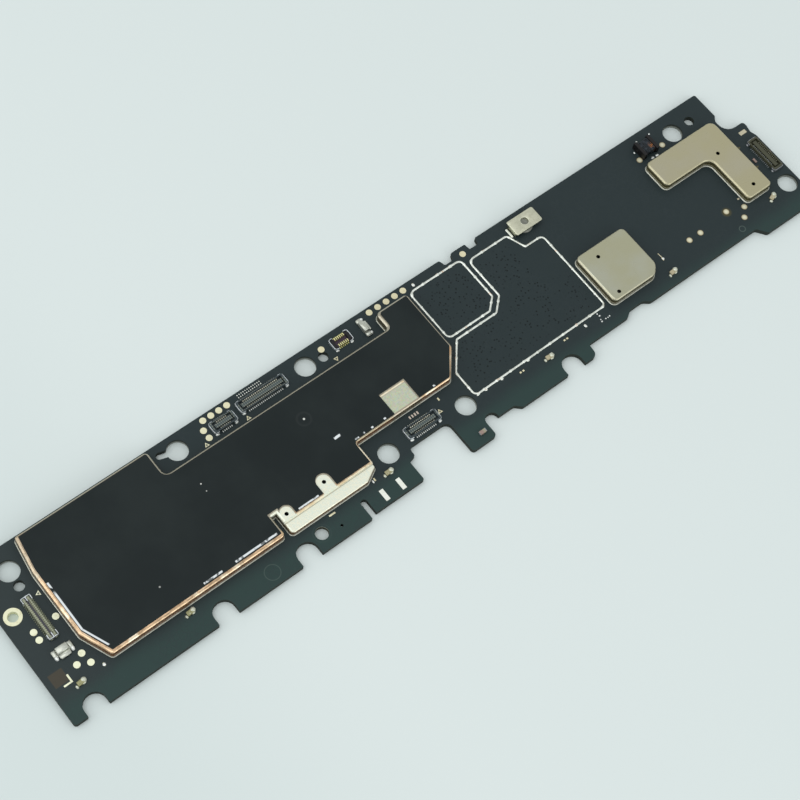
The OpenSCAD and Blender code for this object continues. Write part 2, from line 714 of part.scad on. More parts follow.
module housing_of(spec) {
    color([0.2, 0.23, 0.25]) connector(spec) receptacle_housing(spec[1]);
}

module contacts_of(spec) {
    color([0.8, 0.76, 0.62]) connector(spec) receptacle_contacts(spec[1]);
}

module holddowns_of(spec) {
    color([0.75, 0.76, 0.78]) connector(spec)
        holddowns(housing_l(spec[1]), receptacle_w, receptacle_h * 0.85);
}

module header_of(spec, w) {
    color([0.24, 0.24, 0.28]) connector(spec) header_housing(spec[1], w);
}

module header_contacts_of(spec, w) {
    color([0.78, 0.74, 0.5]) connector(spec) header_contacts(spec[1], w);
}

module header_holddowns_of(spec, w) {
    color([0.75, 0.76, 0.78]) connector(spec)
        holddowns(header_l(spec[1]), 2 * ridge_y(w), ridge_h);
}

module receptacle_40_housing() { housing_of(receptacle_40); }
module receptacle_40_contacts() { contacts_of(receptacle_40); }
module receptacle_40_holddowns() { holddowns_of(receptacle_40); }
module receptacle_24_housing() { housing_of(receptacle_24); }
module receptacle_24_contacts() { contacts_of(receptacle_24); }
module receptacle_24_holddowns() { holddowns_of(receptacle_24); }
module receptacle_12_housing() { housing_of(receptacle_12); }
module receptacle_12_contacts() { contacts_of(receptacle_12); }
module receptacle_12_holddowns() { holddowns_of(receptacle_12); }
module receptacle_28_housing() { housing_of(receptacle_28); }
module receptacle_28_contacts() { contacts_of(receptacle_28); }
module receptacle_28_holddowns() { holddowns_of(receptacle_28); }
module header_36_housing() { header_of(header_36, header_w[0]); }
module header_36_contacts() { header_contacts_of(header_36, header_w[0]); }
module header_36_holddowns() { header_holddowns_of(header_36, header_w[0]); }
module header_12_housing() { header_of(header_12, header_w[1]); }
module header_12_contacts() { header_contacts_of(header_12, header_w[1]); }
module header_12_holddowns() { header_holddowns_of(header_12, header_w[1]); }

// ---- clip nut and ground springs ----

// Plate with one folded leg and a threaded barrel that stands on the board
module clip_nut() {
    color([0.8, 0.79, 0.72]) centred() at(nut_place) difference() {
        union() {
            translate([0, 0, nut_h - nut_t])
                plate([[-nut_plate.x / 2, -nut_plate.y / 2, 0.25],
                       [nut_plate.x / 2, -nut_plate.y / 2, 0.35],
                       [nut_plate.x / 2, nut_plate.y / 2, 0.35],
                       [-nut_plate.x / 2, nut_plate.y / 2, 0.25]], nut_t);
            disc(nut_barrel_d, nut_h - nut_t);
            translate([-nut_plate.x / 2, -nut_plate.y * 0.36, 0])
                cube([nut_t, nut_plate.y * 0.72, nut_h - nut_t]);
        }
        translate([0, 0, -1]) cylinder(d = nut_d, h = nut_h + 2);
    }
}

// Solder round the barrel's foot and along the folded leg
module clip_nut_solder() {
    solder_h = 0.2;
    color([0.82, 0.82, 0.8]) centred() at(nut_place) {
        rotate_extrude()
            polygon([[nut_barrel_d / 2, 0], [nut_barrel_d / 2 + solder_h * 1.5, 0],
                     [nut_barrel_d / 2 + solder_h * 0.4, solder_h * 0.5],
                     [nut_barrel_d / 2, solder_h]]);
        translate([-nut_plate.x / 2 - solder_h * 2, -nut_plate.y * 0.34, 0])
            cube([solder_h * 2, nut_plate.y * 0.68, solder_h * 0.6]);
    }
}

// Grounding spring: base plate, two arched end guards and a sprung leaf with a rounded contact
module ground_spring(w) {
    guard = spring_l * 0.2;
    guard_h = spring_h * 0.5;
    base_w = w * 0.68;
    leaf_l = spring_l * 0.54;
    back = w / 2 - spring_t / 2;
    side = base_w / 2 - spring_t / 2;
    translate([0, (w - base_w) / 2, 0]) {
        slab([spring_l, base_w], spring_t);
        for (s = [-1, 1]) translate([s * (spring_l - guard) / 2, 0, 0]) across(guard)
            polygon(strip([[-side, spring_t / 2], [-side, guard_h * 0.6],
                [-side * 0.6, guard_h - spring_t / 2], [side * 0.6, guard_h - spring_t / 2],
                [side, guard_h * 0.6], [side, spring_t / 2]], spring_t));
    }
    across(leaf_l) polygon(strip([[0, spring_t / 2], [back, spring_t / 2],
        [back, spring_h * 0.72], [back - w * 0.13, spring_h - spring_t / 2],
        [-w * 0.12, spring_h * 0.9], [-w * 0.36, spring_h * 0.62],
        [-w * 0.5, spring_h * 0.42], [-w * 0.42, spring_h * 0.2]], spring_t));
}

module edge_ground_spring() {
    color([0.76, 0.77, 0.76]) centred() at(spring_places[0], spring_places[0][2])
        ground_spring(spring_w);
}

module top_ground_spring() {
    color([0.78, 0.77, 0.7]) centred() at(spring_places[1], spring_places[1][2])
        ground_spring(top_spring_w);
}

// ---- pads and small parts ----

module contact_pads() {
    color([0.95, 0.93, 0.78]) centred() {
        for (p = pad_places) at(p) disc(pad_d, pad_t);
        at(oblong_place) slab([pad_d * 1.3, pad_d * 0.65], pad_t);
    }
}

// Triangles beside the first contact of each connector, and small dash marks
module marker_pads() {
    color([0.9, 0.88, 0.72]) centred() {
        for (p = mark_places) at(p, p[2]) linear_extrude(pad_t)
            polygon([for (w = [90, 210, 330]) mark_r * [cos(w), sin(w)]]);
        for (p = dash_places) at(p) slab(dash_size, pad_t);
    }
}

module tinned_bars() {
    color([0.9, 0.9, 0.87]) centred() for (p = bar_places) at(p) slab(bar_size, 2 * pad_t);
}

module chip_body(size, end) {
    slab([size.x - 2 * end, size.y * 0.96], size.z * 0.96);
}

module chip_ends(size, end) {
    for (s = [-1, 1]) translate([s * (size.x - end) / 2, 0, 0]) slab([end, size.y], size.z);
}

module capacitor_bodies() {
    color([0.5, 0.44, 0.36]) centred()
        for (p = chip_places) at(p, p[2]) chip_body(chip_size, chip_end);
}

module capacitor_ends() {
    color([0.85, 0.84, 0.8]) centred()
        for (p = chip_places) at(p, p[2]) chip_ends(chip_size, chip_end);
}

module tab_chip_body() {
    color([0.72, 0.64, 0.6]) centred() at(tab_chip) chip_body(chip_size, chip_end);
}

module tab_chip_ends() {
    color([0.8, 0.76, 0.7]) centred() at(tab_chip) chip_ends(chip_size, chip_end);
}

// Wound inductor: ferrite core with two end flanges, a coil between them
post = [0.62, 0.5];                  // centre post, as shares of the flanges

module inductor_core() {
    color([0.09, 0.09, 0.1]) centred() at(coil_place) {
        for (s = [-1, 1]) translate([s * (coil_size.x - flange_t) / 2, 0, 0])
            slab([flange_t, coil_size.y], coil_size.z);
        translate([0, 0, coil_size.z * (1 - post[1]) / 2])
            slab([coil_size.x - 2 * flange_t + eps, coil_size.y * post[0]],
                 coil_size.z * post[1]);
    }
}

module inductor_coil() {
    l = coil_size.x - 2 * flange_t;
    h = coil_size.z * 0.8;
    color([0.3, 0.22, 0.15]) centred() at(coil_place)
        translate([0, 0, coil_size.z / 2]) difference() {
            translate([0, 0, -h / 2]) slab([l, coil_size.y * 0.86], h);
            translate([0, 0, -coil_size.z * post[1] / 2])
                slab([l + 1, coil_size.y * post[0]], coil_size.z * post[1]);
        }
}

module inductor_terminals() {
    places = [[-0.03, -1], [0.95, -1], [-0.3, 1], [2.1, 1]];
    size = [0.55, 0.5, 0.26];
    color([0.88, 0.88, 0.86]) centred() for (p = places)
        at([coil_place.x + p.x, coil_place.y + p.y * (coil_size.y / 2 + size.y)]) box(size);
}

// ---- parts inside the cans ----

module inner(place, size) {
    at(place) box(size);
}

module processor() {
    color([0.12, 0.13, 0.14]) centred()
        inner(processor_place, [processor_w, processor_w, processor_h]);
}

module memory_package() {
    color([0.14, 0.14, 0.15]) centred() translate([0, 0, processor_h])
        inner(processor_place, [memory_w, memory_w, memory_h]);
}

// Fills the space between the memory package and the can
module processor_thermal_pad() {
    color([0.5, 0.55, 0.6]) centred() translate([0, 0, processor_h + memory_h])
        inner(processor_place, [memory_w - 1, memory_w - 1, ceiling - processor_h - memory_h]);
}

module storage_chip() {
    color([0.13, 0.13, 0.14]) centred()
        inner(storage_place, [storage_size.x, storage_size.y, storage_h]);
}

module power_chip() {
    color([0.13, 0.13, 0.14]) centred() inner(power_place, [power_w, power_w, chip_h]);
}

module core_power_chip() {
    color([0.13, 0.13, 0.14]) centred()
        inner(core_power_place, [core_power_w, core_power_w, chip_h]);
}

module power_inductors() {
    color([0.3, 0.3, 0.31]) centred()
        for (p = inductor_places) inner(p, [inductor_size.x, inductor_size.y, inductor_h]);
}

module crystals() {
    color([0.75, 0.74, 0.7]) centred() for (p = crystal_places) inner(p, crystal_size);
}

module radio_chip() {
    color([0.13, 0.13, 0.14]) centred() inner(radio_place, [radio_w * 0.9, radio_w * 0.6, chip_h]);
}

module charger_chip() {
    color([0.13, 0.13, 0.14]) centred() inner(charger_place, [charger_w, charger_w * 0.9, chip_h]);
}

module audio_chip() {
    color([0.13, 0.13, 0.14]) centred() inner(audio_place, [charger_w, charger_w, chip_h]);
}

module inner_capacitors() {
    color([0.6, 0.5, 0.4]) centred() for (p = inner_chip_places) inner(p, inner_chip);
}

circuit_board();
ground_eyelet();
main_shield_can();
copper_foil();
graphite_film();
main_can_solder();
square_shield_can();
square_can_solder();
long_shield_can();
long_can_solder();
small_solder_ring();
large_solder_ring();
receptacle_40_housing();
receptacle_40_contacts();
receptacle_40_holddowns();
receptacle_24_housing();
receptacle_24_contacts();
receptacle_24_holddowns();
receptacle_12_housing();
receptacle_12_contacts();
receptacle_12_holddowns();
receptacle_28_housing();
receptacle_28_contacts();
receptacle_28_holddowns();
header_36_housing();
header_36_contacts();
header_36_holddowns();
header_12_housing();
header_12_contacts();
header_12_holddowns();
clip_nut();
clip_nut_solder();
edge_ground_spring();
top_ground_spring();
contact_pads();
marker_pads();
tinned_bars();
capacitor_bodies();
capacitor_ends();
tab_chip_body();
tab_chip_ends();
inductor_core();
inductor_coil();
inductor_terminals();
processor();
memory_package();
processor_thermal_pad();
storage_chip();
power_chip();
core_power_chip();
power_inductors();
crystals();
radio_chip();
charger_chip();
audio_chip();
inner_capacitors();
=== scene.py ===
import bpy
import bmesh
import math
from mathutils import Matrix, Vector


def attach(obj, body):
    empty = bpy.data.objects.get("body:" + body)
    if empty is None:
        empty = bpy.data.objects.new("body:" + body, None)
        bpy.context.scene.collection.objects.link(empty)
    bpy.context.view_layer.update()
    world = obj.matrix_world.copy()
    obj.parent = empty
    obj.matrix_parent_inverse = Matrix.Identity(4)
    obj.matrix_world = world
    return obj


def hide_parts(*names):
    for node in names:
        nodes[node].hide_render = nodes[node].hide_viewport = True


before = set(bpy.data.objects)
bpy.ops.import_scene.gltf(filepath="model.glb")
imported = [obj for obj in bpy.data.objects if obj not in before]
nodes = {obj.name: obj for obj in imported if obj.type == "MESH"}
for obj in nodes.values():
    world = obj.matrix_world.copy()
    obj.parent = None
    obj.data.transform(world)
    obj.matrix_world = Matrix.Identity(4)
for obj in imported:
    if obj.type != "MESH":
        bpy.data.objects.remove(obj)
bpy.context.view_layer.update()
print("frame loaded:", len(nodes), "parts")

# Places are in board millimetres: x and y from the lower left corner, z up from the board's top side
mm = 0.001
middle = (78.6, 14.975)
deckHeight = 1.0
top = 30.4
right = 157.2

# Centres of the connectors, shared by their finishes and their clips
connectors = {"receptacle_40": (55.0, top - 2.7), "receptacle_24": (72.65, 8.1),
              "receptacle_12": (46.95, top - 3.2), "receptacle_28": (right - 1.75, 13.6),
              "header_36": (5.25, 17.05), "header_12": (71.4, top - 2.45)}
contactPitch = 0.35


def at(x, y, z=0.0):
    return Vector(((x - middle[0]) * mm, (y - middle[1]) * mm, (z + deckHeight) * mm))


def srgb(red, green, blue):
    return tuple(c / 255 / 12.92 if c <= 10 else ((c / 255 + 0.055) / 1.055) ** 2.4
                 for c in (red, green, blue))


# A socket that takes arithmetic
class Wire:
    def __init__(self, graph, socket):
        self.graph, self.socket = graph, socket

    def math(self, operation, *values):
        return self.graph.node("ShaderNodeMath", {"operation": operation}, values)

    def __add__(self, other):
        return self.math("ADD", self, other)

    def __radd__(self, other):
        return self.math("ADD", other, self)

    def __sub__(self, other):
        return self.math("SUBTRACT", self, other)

    def __rsub__(self, other):
        return self.math("SUBTRACT", other, self)

    def __mul__(self, other):
        return self.math("MULTIPLY", self, other)

    def __rmul__(self, other):
        return self.math("MULTIPLY", other, self)

    def __truediv__(self, other):
        return self.math("DIVIDE", self, other)

    def __pow__(self, other):
        return self.math("POWER", self, other)

    def atLeast(self, other):
        return self.math("MAXIMUM", self, other)


class Graph:
    def __init__(self, tree, place):
        self.tree = tree
        self.place = place

    def feed(self, socket, value):
        if isinstance(value, Wire):
            self.tree.links.new(value.socket, socket)
        elif socket.type == "RGBA":
            socket.default_value = (*value, 1)
        else:
            socket.default_value = value

    def node(self, kind, settings, values, out=0):
        made = self.tree.nodes.new(kind)
        for key, value in settings.items():
            setattr(made, key, value)
        for key, value in (values.items() if isinstance(values, dict) else enumerate(values)):
            self.feed(made.inputs[key], value)
        return Wire(self, made.outputs[out])

    def split(self, vector):
        return [self.node("ShaderNodeSeparateXYZ", {}, [vector], k) for k in range(3)]

    # Scale counts the features per millimetre
    def noise(self, scale, detail, seed, vector=None):
        return self.node("ShaderNodeTexNoise", {"noise_dimensions": "4D"},
                         {"Vector": vector or self.place, "W": seed, "Scale": scale / mm,
                          "Detail": detail})

    def ramp(self, value, low, high, first=0.0, last=1.0):
        return self.node("ShaderNodeMapRange", {"interpolation_type": "SMOOTHSTEP"},
                         {"Value": value, "From Min": low, "From Max": high,
                          "To Min": first, "To Max": last})

    def fall(self, value, low, high, first=1.0):
        return self.ramp(value, low, high, first, 0.0)

    # Patches of noise with soft borders between two levels
    def patches(self, scale, detail, seed, low, high, vector=None):
        return self.ramp(self.noise(scale, detail, seed, vector), low, high)


class Finish(Graph):
    def __init__(self, name, **sockets):
        self.material = bpy.data.materials.new(name)
        self.material.use_nodes = True
        super().__init__(self.material.node_tree, None)
        self.tree.nodes.clear()
        self.shader = self.tree.nodes.new("ShaderNodeBsdfPrincipled")
        output = self.tree.nodes.new("ShaderNodeOutputMaterial")
        self.tree.links.new(self.shader.outputs[0], output.inputs[0])
        self.place = self.node("ShaderNodeTexCoord", {}, {}, "Object")
        self.set(**sockets)

    def set(self, **sockets):
        for key, value in sockets.items():
            self.feed(self.shader.inputs[key.replace("_", " ")], value)
        return self

    # Board coordinates in millimetres
    def board(self):
        x, y, z = self.split(self.place)
        return x / mm + middle[0], y / mm + middle[1], z / mm - deckHeight

    def within(self, value, low, high, soft):
        return self.ramp(value, low - soft, low + soft) * self.fall(value, high - soft, high + soft)

    # A rectangle is its first and last x, then its first and last y
    def area(self, x, y, rectangle, soft):
        x0, x1, y0, y1 = rectangle
        return self.within(x, x0, x1, soft) * self.within(y, y0, y1, soft)

    def strongest(self, shares):
        whole = 0.0
        for share in shares:
            whole = share.atLeast(whole)
        return whole

    def distance(self, x, y, z=0.0):
        return self.node("ShaderNodeVectorMath", {"operation": "DISTANCE"},
                         {0: self.place, 1: at(x, y, z)}, "Value") / mm

    def cells(self, scale, feature="F1", randomness=1.0):
        return self.node("ShaderNodeTexVoronoi", {"feature": feature},
                         {"Vector": self.place, "Scale": scale / mm, "Randomness": randomness})

    def stretched(self, x, y, z):
        return self.node("ShaderNodeMapping", {}, {"Vector": self.place, "Scale": (x, y, z)})

    def mix(self, factor, first, second, blend="MIX"):
        return self.node("ShaderNodeMix", {"data_type": "RGBA", "blend_type": blend},
                         {0: factor, 6: first, 7: second}, 2)

    def mixValue(self, factor, first, second):
        return self.node("ShaderNodeMix", {"data_type": "FLOAT"}, {0: factor, 2: first, 3: second})

    # Colour, roughness and a relief with its depth in millimetres
    def coat(self, colour, roughness, relief, depth, **sockets):
        bump = self.node("ShaderNodeBump", {}, {"Height": relief, "Distance": depth * mm})
        return self.set(Base_Color=colour, Roughness=roughness, Normal=bump, **sockets)


# A tree of geometry nodes with named sizes
class Recipe(Graph):
    def __init__(self, name, *sizes):
        group = bpy.data.node_groups.new(name, "GeometryNodeTree")
        super().__init__(group, None)
        group.interface.new_socket("Shape", in_out="INPUT", socket_type="NodeSocketGeometry")
        for key in sizes:
            group.interface.new_socket(key, in_out="INPUT", socket_type="NodeSocketFloat")
        group.interface.new_socket("Shape", in_out="OUTPUT", socket_type="NodeSocketGeometry")
        start = group.nodes.new("NodeGroupInput")
        self.shape = Wire(self, start.outputs["Shape"])
        self.size = {key: Wire(self, start.outputs[key]) for key in sizes}
        self.place = self.node("GeometryNodeInputPosition", {}, {})

    # The loose lines as curves, with a point at every step
    def traced(self, step):
        path = self.node("GeometryNodeMeshToCurve", {}, [self.shape])
        return self.node("GeometryNodeResampleCurve", {"mode": "LENGTH"},
                         {"Curve": path, "Length": step * mm})

    def swept(self, path, section, scale, caps=True):
        return self.node("GeometryNodeCurveToMesh", {}, {"Curve": path, "Profile Curve": section,
                                                         "Scale": scale, "Fill Caps": caps})

    # Everything below the board's top side is pressed up to it
    def seated(self, shape, squash=1.0):
        x, y, z = self.split(self.place)
        deck = deckHeight * mm
        z = deck + (z - deck).atLeast(-0.01 * mm) * squash
        spot = self.node("ShaderNodeCombineXYZ", {}, [x, y, z])
        return self.node("GeometryNodeSetPosition", {}, {"Geometry": shape, "Position": spot})

    def serve(self, shape, finish):
        soft = self.node("GeometryNodeSetShadeSmooth", {}, [shape])
        real = self.node("GeometryNodeRealizeInstances", {}, [soft])
        coated = self.node("GeometryNodeSetMaterial", {},
                           {"Geometry": real, "Material": finish.material})
        end = self.tree.nodes.new("NodeGroupOutput")
        self.tree.links.new(coated.socket, end.inputs[0])
        return self

    # Runs the tree on an object's mesh and leaves the plain result in it
    def cook(self, piece, **values):
        modifier = piece.modifiers.new(self.tree.name, "NODES")
        modifier.node_group = self.tree
        for item in self.tree.interface.items_tree:
            if item.in_out == "INPUT" and item.name in values:
                modifier[item.identifier] = float(values[item.name])
        return baked(piece)


# The piece with its modifiers worked into its mesh
def baked(piece):
    graph = bpy.context.evaluated_depsgraph_get()
    made = bpy.data.meshes.new_from_object(piece.evaluated_get(graph))
    piece.modifiers.clear()
    made.name = piece.name
    piece.data = made
    return piece


def newObject(name, data):
    made = bpy.data.objects.new(name, data)
    bpy.context.scene.collection.objects.link(made)
    return made


# An object of loose lines for a recipe to follow
def lines(name, runs, closed=False):
    points, edges = [], []
    for run in runs:
        first = len(points)
        points += run
        edges += [(first + k, first + k + 1) for k in range(len(run) - 1)]
        if closed:
            edges.append((first + len(run) - 1, first))
    mesh = bpy.data.meshes.new(name)
    mesh.from_pydata(points, edges, [])
    return newObject(name, mesh)


# An object of loose points, each row with its place, its size in millimetres and its turn in degrees
def spots(name, rows):
    mesh = bpy.data.meshes.new(name)
    mesh.from_pydata([at(*place) for place, size, turn in rows], [], [])
    mesh.attributes.new("size", "FLOAT_VECTOR", "POINT")
    mesh.attributes.new("turn", "FLOAT", "POINT")
    for k, (place, size, turn) in enumerate(rows):
        mesh.attributes["size"].data[k].vector = Vector(size) * mm
        mesh.attributes["turn"].data[k].value = math.radians(turn)
    return newObject(name, mesh)


def settle(piece, slotName, *replaced):
    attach(piece, "root")
    if replaced:
        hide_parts(*replaced)


# Soft shading with crisp edges, in one finish
def dressed(mesh, finish, sharp):
    mesh.materials.clear()
    mesh.materials.append(finish.material)
    mesh.shade_smooth()
    mesh.set_sharp_from_angle(angle=math.radians(sharp))


# Closes a bmesh into a piece
def finished(name, build, finish, sharp=35.0):
    bmesh.ops.recalc_face_normals(build, faces=build.faces)
    mesh = bpy.data.meshes.new(name)
    build.to_mesh(mesh)
    build.free()
    dressed(mesh, finish, sharp)
    return newObject(name, mesh)


# Corners of a path of (x, y, radius) rounded by arcs
def rounded(path, steps=6):
    points = []
    for k, (x, y, radius) in enumerate(path):
        corner = Vector((x, y))
        back = (Vector(path[k - 1][:2]) - corner).normalized()
        ahead = (Vector(path[(k + 1) % len(path)][:2]) - corner).normalized()
        half = back.angle(ahead) / 2
        centre = corner + (back + ahead).normalized() * radius / math.sin(half)
        start = corner + back * radius / math.tan(half) - centre
        sweep = (math.pi - 2 * half) * (1 if back.cross(ahead) < 0 else -1)
        points += [centre + Matrix.Rotation(sweep * step / steps, 2) @ start
                   for step in range(steps + 1)]
    return points


# Smooth line through a list of points
def smooth(points, steps):
    points = [Vector(point) for point in points]
    line = []
    for k in range(len(points) - 1):
        a, b, c, d = (points[min(max(k + j, 0), len(points) - 1)] for j in (-1, 0, 1, 2))
        for step in range(steps):
            t = step / steps
            line.append(0.5 * (2 * b + (c - a) * t + (2 * a - 5 * b + 4 * c - d) * t ** 2
                               + (3 * b - a - 3 * c + d) * t ** 3))
    return line + [points[-1]]


# A block with rounded edges, standing on its place
def block(build, place, size, turn=0.0, radius=0.06, segments=3):
    grown = bmesh.ops.create_cube(build, size=1.0)["verts"]
    for vert in grown:
        vert.co = Vector((vert.co.x * size[0], vert.co.y * size[1], (vert.co.z + 0.5) * size[2])) * mm
    edges = {edge for vert in grown for edge in vert.link_edges}
    soft = bmesh.ops.bevel(build, geom=list(edges), offset=radius * mm, segments=segments,
                           profile=0.5, affect="EDGES")
    whole = {vert for face in soft["faces"] for vert in face.verts}
    whole |= {vert for vert in grown if vert.is_valid}
    move = Matrix.Translation(at(*place)) @ Matrix.Rotation(math.radians(turn), 4, "Z")
    bmesh.ops.transform(build, matrix=move, verts=list(whole))


# A thin sheet bent along a profile of (y, z), with a half width at each point
def bentSheet(build, profile, halves, thickness, move):
    rings = []
    for k, point in enumerate(profile):
        ahead = profile[min(k + 1, len(profile) - 1)] - profile[max(k - 1, 0)]
        out = Vector((-ahead.y, ahead.x)).normalized() * thickness / 2
        half, edge = halves[k], thickness * 0.35
        section = [(-half, -0.3), (-half + edge, -1), (half - edge, -1), (half, -0.3),
                   (half, 0.3), (half - edge, 1), (-half + edge, 1), (-half, 0.3)]
        corners = [Vector((x, point.x + s * out.x, point.y + s * out.y)) for x, s in section]
        rings.append([build.verts.new(move @ (corner * mm)) for corner in corners])
    for one, two in zip(rings, rings[1:]):
        for k in range(8):
            build.faces.new((one[k], one[(k + 1) % 8], two[(k + 1) % 8], two[k]))
    build.faces.new(rings[0])
    build.faces.new(rings[-1])


# A round part turned about an upright axis from a closed profile of (radius, z)
def turned(build, place, profile, steps=40):
    rings = []
    for k in range(steps):
        angle = 2 * math.pi * k / steps
        rings.append([build.verts.new(at(place[0] + radius * math.cos(angle),
                                         place[1] + radius * math.sin(angle), z))
                      for radius, z in profile])
    for k in range(steps):
        one, two = rings[k], rings[(k + 1) % steps]
        for j in range(len(profile)):
            i = (j + 1) % len(profile)
            build.faces.new((one[j], one[i], two[i], two[j]))


# A CAD part's own shape with its sharp edges eased
def eased(name, node, width, finish):
    piece = newObject(name, nodes[node].data.copy())
    build = bmesh.new()
    build.from_mesh(piece.data)
    bmesh.ops.remove_doubles(build, verts=build.verts, dist=0.001 * mm)
    bmesh.ops.dissolve_limit(build, angle_limit=math.radians(1.0), verts=build.verts, edges=build.edges)
    build.to_mesh(piece.data)
    build.free()
    soft = piece.modifiers.new("ease", "BEVEL")
    soft.width, soft.segments, soft.limit_method = width * mm, 2, "ANGLE"
    soft.angle_limit = math.radians(40)
    dressed(baked(piece).data, finish, 50)
    return piece


# Solder mask over the laminate: dark slate, greener along the front edge
boardLook = {
    "slate": srgb(40, 51, 53), "green": srgb(45, 66, 63), "pale": srgb(51, 60, 60),
    "trace": srgb(48, 58, 60), "via": srgb(20, 27, 28), "dust": srgb(120, 130, 130),
    "laminate": srgb(40, 48, 45), "layer": srgb(30, 36, 33), "fibre": srgb(56, 60, 50),
    "mattSquare": srgb(78, 71, 58), "ring": srgb(96, 112, 106), "stain": srgb(84, 80, 50),
    "plated": srgb(128, 134, 124), "platedFootShade": srgb(62, 62, 48), "bore": srgb(138, 142, 136),
    "roughness": 0.42,
    "viaFields": ((84.5, 111.0, 8.6, 16.4), (99.4, 106.0, 16.0, 26.4), (87.3, 96.2, 18.8, 27.4)),
    "squarePlace": (0.95, 3.4, 6.35, 8.7), "stainPlace": (141.7, 8.8), "platedHole": (48.15, 2.75),
    # centre, radius and strength of the rings in the mask
    "rings": ((38.0, 2.1, 1.3, 0.3), (141.7, 4.7, 0.55, 0.5), (48.15, 2.75, 1.5, 0.08)),
    "screwHoles": ((5.7, top - 4.2), (63.8, top - 2.75), (65.2, 7.4), (80.8, 6.7),
                   (right - 12.25, top - 3.8), (right - 2.25, 6.95), (38.25, top - 2.8))}


def boardFinish(look):
    f = Finish("solderMask", Specular_IOR_Level=0.16)
    x, y, z = f.board()
    cloud = f.noise(0.12, 3, 1.0)
    colour = f.mix(f.fall(x, 2.0, 16.0, 0.7), look["slate"], look["pale"])
    colour = f.mix(f.fall(y + 2.4 * cloud, 3.6, 7.0), colour, look["green"])
    colour = f.mix(f.noise(0.8, 4, 2.0) * 0.4, colour, look["trace"])
    # copper runs under the mask
    runs = f.fall(f.cells(0.9, "DISTANCE_TO_EDGE"), 0.02, 0.09) * f.ramp(cloud, 0.45, 0.6)
    colour = f.mix(runs * 0.3, colour, look["trace"])
    # vias in clusters inside the solder rings
    inRings = f.strongest(f.area(x, y, field, 0.4) for field in look["viaFields"])
    vias = f.fall(f.cells(1.5, randomness=0.85), 0.19, 0.28) * f.patches(0.42, 2, 7.0, 0.36, 0.46)
    colour = f.mix(vias * inRings * 0.9, colour, look["via"])
    colour = f.mix(f.patches(6.0, 2, 3.0, 0.66, 0.74) * 0.12, colour, look["dust"])
    colour = f.mix(f.area(x, y, look["squarePlace"], 0.08) * 0.7, colour, look["mattSquare"])
    for cx, cy, radius, shade in look["rings"]:
        ring = f.within(f.distance(cx, cy), radius - 0.07, radius + 0.07, 0.05)
        colour = f.mix(ring * shade, colour, look["ring"])
    colour = f.mix(f.fall(f.distance(*look["stainPlace"]), 0.55, 1.1, 0.7), colour, look["stain"])
    # routed edges and hole walls show the layers
    side = f.within(z, -0.985, -0.015, 0.006)
    waves = f.node("ShaderNodeTexWave", {"bands_direction": "Z", "wave_type": "BANDS"},
                   {"Vector": f.place, "Scale": 1.6 / mm, "Distortion": 0.4})
    edge = f.mix(f.ramp(waves, 0.55, 0.9), look["laminate"], look["layer"])
    edge = f.mix(f.noise(5.0, 3, 4.0) * 0.5, edge, look["fibre"])
    # the plated wall of the tooling hole is painted darker towards its foot: painted shade deep in the
    # hole
    plated = f.mix(f.ramp(z, -0.35, -0.2), look["platedFootShade"], look["plated"])
    edge = f.mix(f.fall(f.distance(*look["platedHole"], -0.5), 1.3, 1.35, 0.9), edge, plated)
    bore = f.strongest(f.fall(f.distance(*hole, -0.5), 2.0, 2.1) for hole in look["screwHoles"])
    edge = f.mix(bore * f.ramp(z, -0.3, -0.75), edge, look["bore"])
    gloss = look["roughness"] + f.noise(0.5, 3, 5.0) * 0.12 - 0.06
    return f.coat(f.mix(side, colour, edge), f.mixValue(side, gloss, 0.7),
                  runs * 0.5 + f.noise(9.0, 2, 6.0) * 0.25, 0.012)


# Gold-plated pads with a duller rim and probe marks, paler towards the left end
padLook = {
    "left": srgb(240, 243, 212), "gold": srgb(226, 220, 184), "right": srgb(197, 191, 165),
    "rim": srgb(190, 176, 122), "dash": srgb(212, 198, 184), "tarnish": srgb(128, 118, 84),
    "scratch": srgb(250, 248, 232), "roughness": 0.42, "dashes": (71.4, 73.9, 9.9, 10.7),
    # round pads with a tarnished rim, and triangles that are open in the middle
    "small": ((132.45, 8.4), (135.05, 8.4), (right - 15.5, 8.9), (right - 12.15, 7.8),
              (right - 13.6, 6.2), (right - 20.98, top - 4.67), (right - 15.5, top - 4.6)),
    "hollow": ((7.3, 20.5), (42.55, top - 4.8), (50.75, top - 4.85), (68.8, top - 4.6), (76.6, 8.3))}


def padFinish(name, look, small=(), hollow=(), wear=0.0):
    f = Finish(name, Metallic=0.2)
    x, y, _ = f.board()
    gold = f.mix(f.ramp(x, 8.0, 70.0), look["left"], look["gold"])
    gold = f.mix(f.ramp(x, 90.0, 140.0), gold, look["right"])
    gold = f.mix(f.area(x, y, look["dashes"], 0.05), gold, look["dash"])
    stain = f.patches(2.2, 4, 11.0, 0.52, 0.72)
    colour = f.mix(stain * 0.35, gold, look["rim"])
    scratch = f.patches(3.0, 3, 12.0, 0.6, 0.75, f.stretched(0.3, 2.5, 1.0))
    colour = f.mix(scratch * 0.15, colour, look["scratch"])
    for place in small:
        away = f.distance(*place)
        colour = f.mix(f.fall(away, 0.1, 0.45, 0.6), colour, look["left"])
        colour = f.mix(f.ramp(away, 0.42, 0.53) * f.fall(away, 0.6, 0.8), colour, look["tarnish"])
    for place in hollow:
        colour = f.mix(f.fall(f.distance(*place), 0.14, 0.21, 0.85), colour, boardLook["slate"])
    return f.coat(f.mix(wear, colour, look["rim"]), look["roughness"] + stain * 0.2,
                  f.noise(4.0, 3, 13.0), 0.01)
